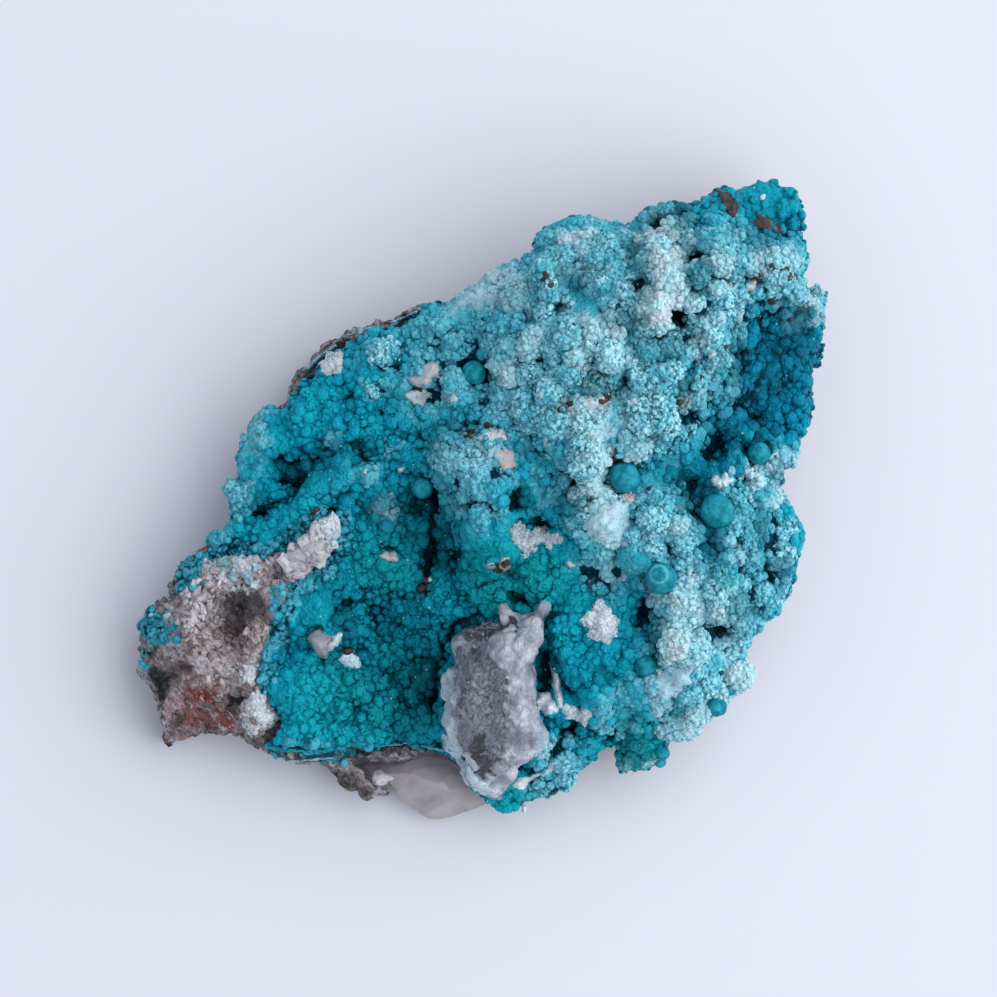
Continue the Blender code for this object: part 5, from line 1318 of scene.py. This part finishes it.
# White and pale films: name, (thickness, roughness, warmth, coolness), outline on the plan.
FILMS = [
    ("white_scale_left", (0.7, 0.6, 0.15, 0.1), [
        (32.1, 36.2), (32.7, 35.5), (33.8, 35.4), (34.4, 36), (34.5, 36.7), (34, 37.3), (32.8, 37.4),
        (32.1, 36.8),
    ]),
    ("fringed_film", (0.5, 0.4, 0.6, 0.1), [
        (40.7, 37.8), (41.8, 37.2), (42, 36.6), (43, 36.2), (43.8, 36.1), (44.4, 37), (44.7, 37.7),
        (44.1, 37.9), (43.2, 37.8), (42.8, 38.6), (41.6, 38.8), (41.1, 38.4),
    ]),
    ("fringed_film_lower", (0.5, 0.5, 0.5, 0.35), [
        (40.3, 39.4), (41.3, 39), (42.6, 38.9), (43.2, 39.3), (42.9, 40), (42.4, 41), (41.8, 40.4),
        (40.8, 40.1),
    ]),
    ("fringed_film_tail", (0.4, 0.3, 0.5, 0.2), [
        (44.1, 39.2), (44.8, 39), (45.7, 39.5), (45.5, 40.3), (45.2, 40.8), (44.7, 40.1), (44.1, 39.6),
    ]),
    ("plateau_film_white", (0.5, 0.4, 0.3, 0), [
        (47.7, 44), (48.1, 43.1), (49, 42.8), (49.9, 43), (50.4, 42.7), (50.5, 43.3), (50.4, 44.1),
        (49.8, 43.8), (49.2, 44.4), (48.4, 44.1),
    ]),
    ("plateau_film_pink", (0.5, 0.45, 0.9, 0), [
        (48.8, 44.6), (49.5, 44.8), (50.5, 44.7), (51.2, 45), (51.4, 46), (51.8, 46.6), (51.2, 47.4),
        (50.6, 47), (50, 47), (49.7, 46), (49.4, 45.4),
    ]),
    ("ledge_film", (0.5, 0.4, 0.5, 0.3), [
        (51.2, 53), (51.5, 52.2), (52.1, 52), (52.4, 52.7), (53, 53.1), (53.5, 52.4), (54.3, 52.6),
        (55.1, 53.3), (56.1, 53.4), (56, 54.1), (55.3, 54.7), (54.6, 54.6), (54, 54.1), (53.6, 54.6),
        (53.3, 55.3), (52.6, 55.6), (52, 54.8), (51.4, 54.1), (51.1, 53.6),
    ]),
    ("ochre_film", (0.5, 0.5, 1, 0), [
        (48.4, 56.9), (48.8, 56.2), (49.7, 56.2), (50.2, 55.6), (50.8, 55.8), (51, 56.3), (51.3, 56.7),
        (50.5, 57), (49.2, 57.1),
    ]),
    ("smooth_lobe", (0.9, 0.3, 0, 0.7), [
        (59.8, 50.7), (61.2, 50), (62.5, 50.3), (63, 51.5), (63, 52.5), (62.2, 53.5), (61.5, 54.3),
        (60, 54.1), (58.8, 53.8), (58.3, 52.8), (59, 51.7),
    ]),
    ("lobe_edge", (0.5, 0.3, 0.8, 0), [
        (61.8, 49.7), (62.6, 49.3), (63.6, 49.5), (63.3, 50.5), (62.4, 50.4),
    ]),
    ("white_blob", (1.2, 0.9, 0, 0.05), [
        (59.7, 59.8), (60.4, 60), (60.7, 60.8), (61.3, 61.4), (61.7, 62.2), (61.7, 63.2), (61.2, 64),
        (60.4, 64.5), (59.7, 63.8), (58.8, 63.3), (58, 62), (58.6, 61.2), (59.3, 60.7),
    ]),
    ("valley_film", (0.6, 0.4, 0.9, 0), [
        (37.8, 55.6), (38.4, 55.1), (39.3, 55.1), (40, 55.5), (39.6, 56.1), (38.6, 56.2),
    ]),
    ("far_edge_film", (0.4, 0.4, 0, 0.7), [
        (45.3, 30.6), (46.2, 29.8), (47.4, 29), (48.6, 28.3), (49.4, 28.6), (49.6, 29.8), (48.4, 30.2),
        (46.8, 30.4), (46, 30.8),
    ]),
    ("near_film", (0.8, 0.4, 0, 0.75), [
        (65.2, 68.4), (65.8, 67.2), (66.8, 66.3), (68, 66.4), (69, 67), (69.2, 68.2), (68.2, 68.8),
        (67.6, 69.5), (66.6, 70), (65.8, 69.6),
    ]),
    ("pale_chip", (0.6, 0.15, 0, 0.5), [
        (33.8, 66), (34.8, 65.3), (36.2, 65.7), (35.8, 66.7), (34.5, 66.8),
    ]),
    ("grey_lump", (1, 1.4, 0.6, 0.2), [
        (30.8, 64), (31.6, 63.2), (32.8, 63.3), (33.4, 63.9), (33, 65), (32.6, 65.8), (31.6, 65.6),
        (31.1, 65),
    ]),
    ("grey_lump_clear", (1.3, 1, 0.2, 0.3), [
        (32.6, 64.4), (33.2, 63.4), (34, 63.1), (34.4, 63.9), (34, 64.6), (33.2, 65.2), (32.7, 65.2),
    ]),
    ("rosette", (0.9, 0.9, 0.2, 0), [
        (25, 69.5), (26.2, 69.2), (26.8, 69.8), (27.2, 70.8), (28, 71.8), (26.8, 72.8), (26.2, 73.5),
        (25, 73.6), (24.4, 73), (24.2, 71.8), (24.3, 70.5),
    ]),
    ("matrix_scale", (0.5, 0.5, 0.2, 0), [
        (24.2, 66.6), (25.2, 66.3), (26, 67), (26.1, 67.9), (25.4, 68.4), (24.6, 68.2),
    ]),
    ("white_knob", (1.2, 0.4, 0, 0.05), [
        (53.3, 70.2), (53.8, 69.4), (54.8, 69.3), (55.6, 70), (55.8, 70.9), (55.2, 71.6), (54.2, 71.4),
        (53.5, 71),
    ]),
    ("white_crumbs", (0.8, 0.7, 0.05, 0.15), [
        (56.2, 70.8), (57, 70.4), (57.9, 71), (58.7, 70.7), (59.3, 71.2), (59.1, 72.1), (58.4, 72.5),
        (57.5, 71.8), (56.7, 71.8),
    ]),
    ("pale_curtain", (0.8, 0.3, 0.1, 0.3), [
        (54.9, 66.2), (55.5, 66.6), (55.9, 68), (56.2, 69.4), (56.5, 70.8), (55.8, 71), (55.5, 69.4),
        (55.2, 67.8),
    ]),
    ("nodule_rim_left", (0.5, 0.4, 0.1, 0.35), [
        (44.1, 73.4), (45, 73.6), (45.8, 74.8), (46.6, 76.3), (46.3, 77), (45.2, 75.8), (44.3, 74.8),
    ]),
    ("nodule_rim_near", (0.5, 0.4, 0.1, 0.35), [
        (45.9, 76.3), (46.6, 76.2), (47.6, 77.4), (48.8, 78.6), (49.9, 79.3), (49.4, 79.9), (48, 79.4),
        (46.8, 78.4), (46, 77.3),
    ]),
    ("nodule_fringe", (0.6, 0.5, 0, 0.1), [
        (51, 78.5), (52, 78), (53, 77.7), (53.9, 77.2), (54.1, 77.7), (53.2, 78.4), (52.4, 79),
        (51.4, 79),
    ]),
    ("white_crescent", (0.4, 0.2, 0, 0.2), [
        (53.8, 77.4), (54.7, 76.9), (55.2, 76.2), (55.2, 75.8), (55.7, 76.2), (55.2, 77.1),
        (54.4, 77.7),
    ]),
    ("quartz_scale", (0.4, 0.4, 0.45, 0), [
        (37, 77.8), (38, 77.2), (38.9, 77.4), (39.1, 78.2), (38.3, 78.8), (37.3, 78.6),
    ]),
]
# The films and lumps that are smoky, and those set with small scales.
SMOKY = ("grey_lump",)
SCALY = (
    "white_scale_left", "white_blob", "rosette", "matrix_scale", "white_crumbs", "ledge_film", "lobe_edge",
)
# Small round pale lumps: (right, down, radius, warmth, coolness).
PALE_LUMPS = [
    (40.3, 46.8, 0.4, 0.1, 0.2), (36.5, 47, 0.35, 0, 0.3), (57, 56.5, 0.4, 0.1, 0.1),
    (63.3, 40, 0.5, 0.3, 0.1), (76.4, 19.7, 0.45, 0, 0.1), (75.1, 28.5, 0.6, 0.8, 0),
    (53.9, 39.5, 0.4, 0, 0.3), (54.6, 44.2, 0.45, 0, 0.5), (72.6, 48, 0.6, 0, 0.3),
    (71.6, 48.2, 0.6, 0, 0.3), (59, 40.4, 0.55, 0.1, 0.2), (52.4, 81, 0.4, 0, 0.2),
    (43, 57.8, 0.35, 0, 0.5), (71, 35.4, 0.4, 0.1, 0.5),
]
# Crumbs of limonite: (right, down, radius).
RUSTY_CRUMBS = [
    (54.4, 28.1, 0.6), (55, 28.4, 0.4), (76.7, 26.7, 0.5), (79, 27.7, 0.5), (78.4, 27.2, 0.35),
    (75.7, 27.9, 0.4), (77.3, 30, 0.45), (73.5, 31.8, 0.4), (79, 32, 0.35), (67.8, 40.3, 0.5),
    (68.6, 40, 0.35), (60.2, 40.2, 0.45), (60.6, 39.7, 0.3), (49.8, 56.6, 0.5), (50.6, 56.3, 0.35),
    (59.4, 60.6, 0.35), (42.5, 59, 0.5), (42.6, 58.2, 0.3), (31.8, 51.3, 0.55), (32.3, 51.7, 0.35),
    (47, 43.4, 0.5), (48.6, 42.6, 0.3), (77.9, 35.4, 0.3), (69.9, 37.8, 0.4), (72.8, 34.6, 0.35),
    (61.2, 45.8, 0.35), (61.6, 45, 0.3), (34.6, 65.2, 0.45), (34.9, 64.5, 0.35), (64.9, 48.8, 0.35),
    (56, 41.2, 0.4), (56.9, 40.4, 0.35), (60, 57.9, 0.3), (50, 45.2, 0.3), (41.9, 39.2, 0.4),
]
# Rusty flakes near the tip.
FLAKES = [
    ("brown_flake_far", [
        (71.6, 19), (72.4, 19.2), (73.8, 20.1), (73.8, 21.2), (73.2, 21.8), (72.5, 21), (72, 19.8),
    ]),
    ("brown_flake_tip", [
        (75.2, 22), (76, 21.6), (77.2, 21.8), (78, 22.4), (78.3, 23), (77.5, 23.3), (76.4, 23),
        (75.4, 22.6),
    ]),
]
# Small blue-green balls that aren't solids of their own: (right, down, radius).
SMALL_BALLS = [
    (71.7, 70.7, 1), (73.1, 69, 0.6), (66.3, 75.4, 0.75), (66.1, 76.3, 0.6), (42.2, 48.7, 1.15),
]


def round_outline(right, down, radius, seed):
    """A roughly round outline on the plan."""
    chance = random.Random(seed)
    sides = 8
    outline = []
    for side in range(sides):
        angle = 2 * math.pi * side / sides
        reach = radius * chance.uniform(0.8, 1.2)
        outline.append((right + reach * math.cos(angle), down + reach * math.sin(angle)))
    return outline


def pale_films(top):
    for seed, (name, (thickness, roughness, warmth, coolness), outline) in enumerate(FILMS):
        film = shell(name, outline, top, thickness, roughness, seed, step=0.2)
        mark(film.data, warm=warmth, cool=coolness)
        dressed(film, SMOKY_QUARTZ if name in SMOKY else MILKY_QUARTZ)
        if name in SCALY:
            cover = np.clip(facing(film.data) * 3, 0, 1)
            kept("quartz", grown("scales", f"{name}_scales", film, cover, number=seed))
        kept("quartz", film)


def crumbs(name, spots, top, surface, slot):
    """Small round lumps, (right, down, radius, warmth, coolness), as one piece."""
    made = []
    for seed, (right, down, radius, warmth, coolness) in enumerate(spots):
        made.append(shell(
            f"{name}_{seed}", round_outline(right, down, radius, seed), top, 0.9 * radius + 0.15,
            0.6 * radius, seed, step=0.16, edge=radius,
        ))
        mark(made[-1].data, warm=warmth, cool=coolness)
    kept(slot, dressed(joined(name, made), surface))
    for lump in made:
        bpy.data.objects.remove(lump, do_unlink=True)


def rusty_flakes(top):
    for seed, (name, outline) in enumerate(FLAKES):
        flake = shell(name, outline, top, 0.45, 0.8, seed, step=0.2, edge=0.3)
        kept("host_rock", dressed(flake, LIMONITE))


def small_balls(top):
    for number, (right, down, radius) in enumerate(SMALL_BALLS, start=SOLID_BALLS + 1):
        # A ball at the very edge may have its ground a little further in.
        height = top(right, down) or top(right - 0.5, down - 0.5) or 6.0
        middle = frame_place(right, down, height + 0.1 * radius)
        half = Vector((radius, radius, radius)) * MM
        kept("malachite", ball(f"ball_skin_{number}", middle, half, number))


# ---------------------------------------------------------------- the studio

# The softbox: its plan place and height in millimetres, its side in metres, its power in watts and
# its colour. It is turned to a place this high in the middle of the sheet.
WINDOW = (620, -80, 430)
WINDOW_SIDE = 1.4
WINDOW_POWER = 9.8
WINDOW_COLOUR = (1.0, 0.99, 0.975)
AIM_HEIGHT = 8
# The light of the room, and half the side of the card in metres.
ROOM_COLOUR = (0.86, 0.89, 1.0, 1)
ROOM_LIGHT = 0.56
CARD_HALF = 1.5


def camera():
    """A long lens straight above the sheet."""
    data = bpy.data.cameras.new("camera")
    data.lens = LENS
    data.sensor_width = SENSOR
    data.clip_start = 0.05
    made = placed("camera", data)
    made.location = frame_place(*SHEET_MIDDLE, VIEW_HEIGHT + VIEW_WIDTH * LENS / SENSOR)
    made.rotation_euler = (0, 0, -LONG_AXIS)
    bpy.context.scene.camera = made


def studio():
    """One square softbox and a pale room over a matt card."""
    data = bpy.data.lights.new("window", "AREA")
    data.shape = "SQUARE"
    data.size = WINDOW_SIDE
    data.energy = WINDOW_POWER
    data.color = WINDOW_COLOUR
    window = placed("window", data)
    window.location = frame_place(*WINDOW)
    aim = frame_place(*SHEET_MIDDLE, AIM_HEIGHT) - window.location
    window.rotation_euler = aim.to_track_quat("-Z", "Y").to_euler()
    world = bpy.data.worlds.new("studio")
    world.use_nodes = True
    feed(world.node_tree, world.node_tree.nodes["Background"], {"Color": ROOM_COLOUR, "Strength": ROOM_LIGHT})
    bpy.context.scene.world = world
    bpy.context.scene.view_settings.view_transform = "Standard"
    mesh = bpy.data.meshes.new("card")
    corners = [(-CARD_HALF, -CARD_HALF, 0), (CARD_HALF, -CARD_HALF, 0), (CARD_HALF, CARD_HALF, 0)]
    mesh.from_pydata(corners + [(-CARD_HALF, CARD_HALF, 0)], [], [(0, 1, 2, 3)])
    mesh.materials.append(MATT_CARD)
    placed("card", mesh)


camera()
studio()
crust = crust_body()
growth = crust_growth(crust)
rock = rock_body()
rock_growth(rock)
quartz = quartz_block()
nodule = nodule_body()
for ball_number in range(1, SOLID_BALLS + 1):
    ball_skin(ball_number)
highest_at = top_finder([crust, rock, quartz, nodule] + growth[:3])
crust_edges(highest_at)
pale_films(highest_at)
crumbs("pale_lumps", PALE_LUMPS, highest_at, MILKY_QUARTZ, "quartz")
crumbs("rusty_crumbs", [spot + (0, 0) for spot in RUSTY_CRUMBS], highest_at, LIMONITE, "host_rock")
rusty_flakes(highest_at)
small_balls(highest_at)
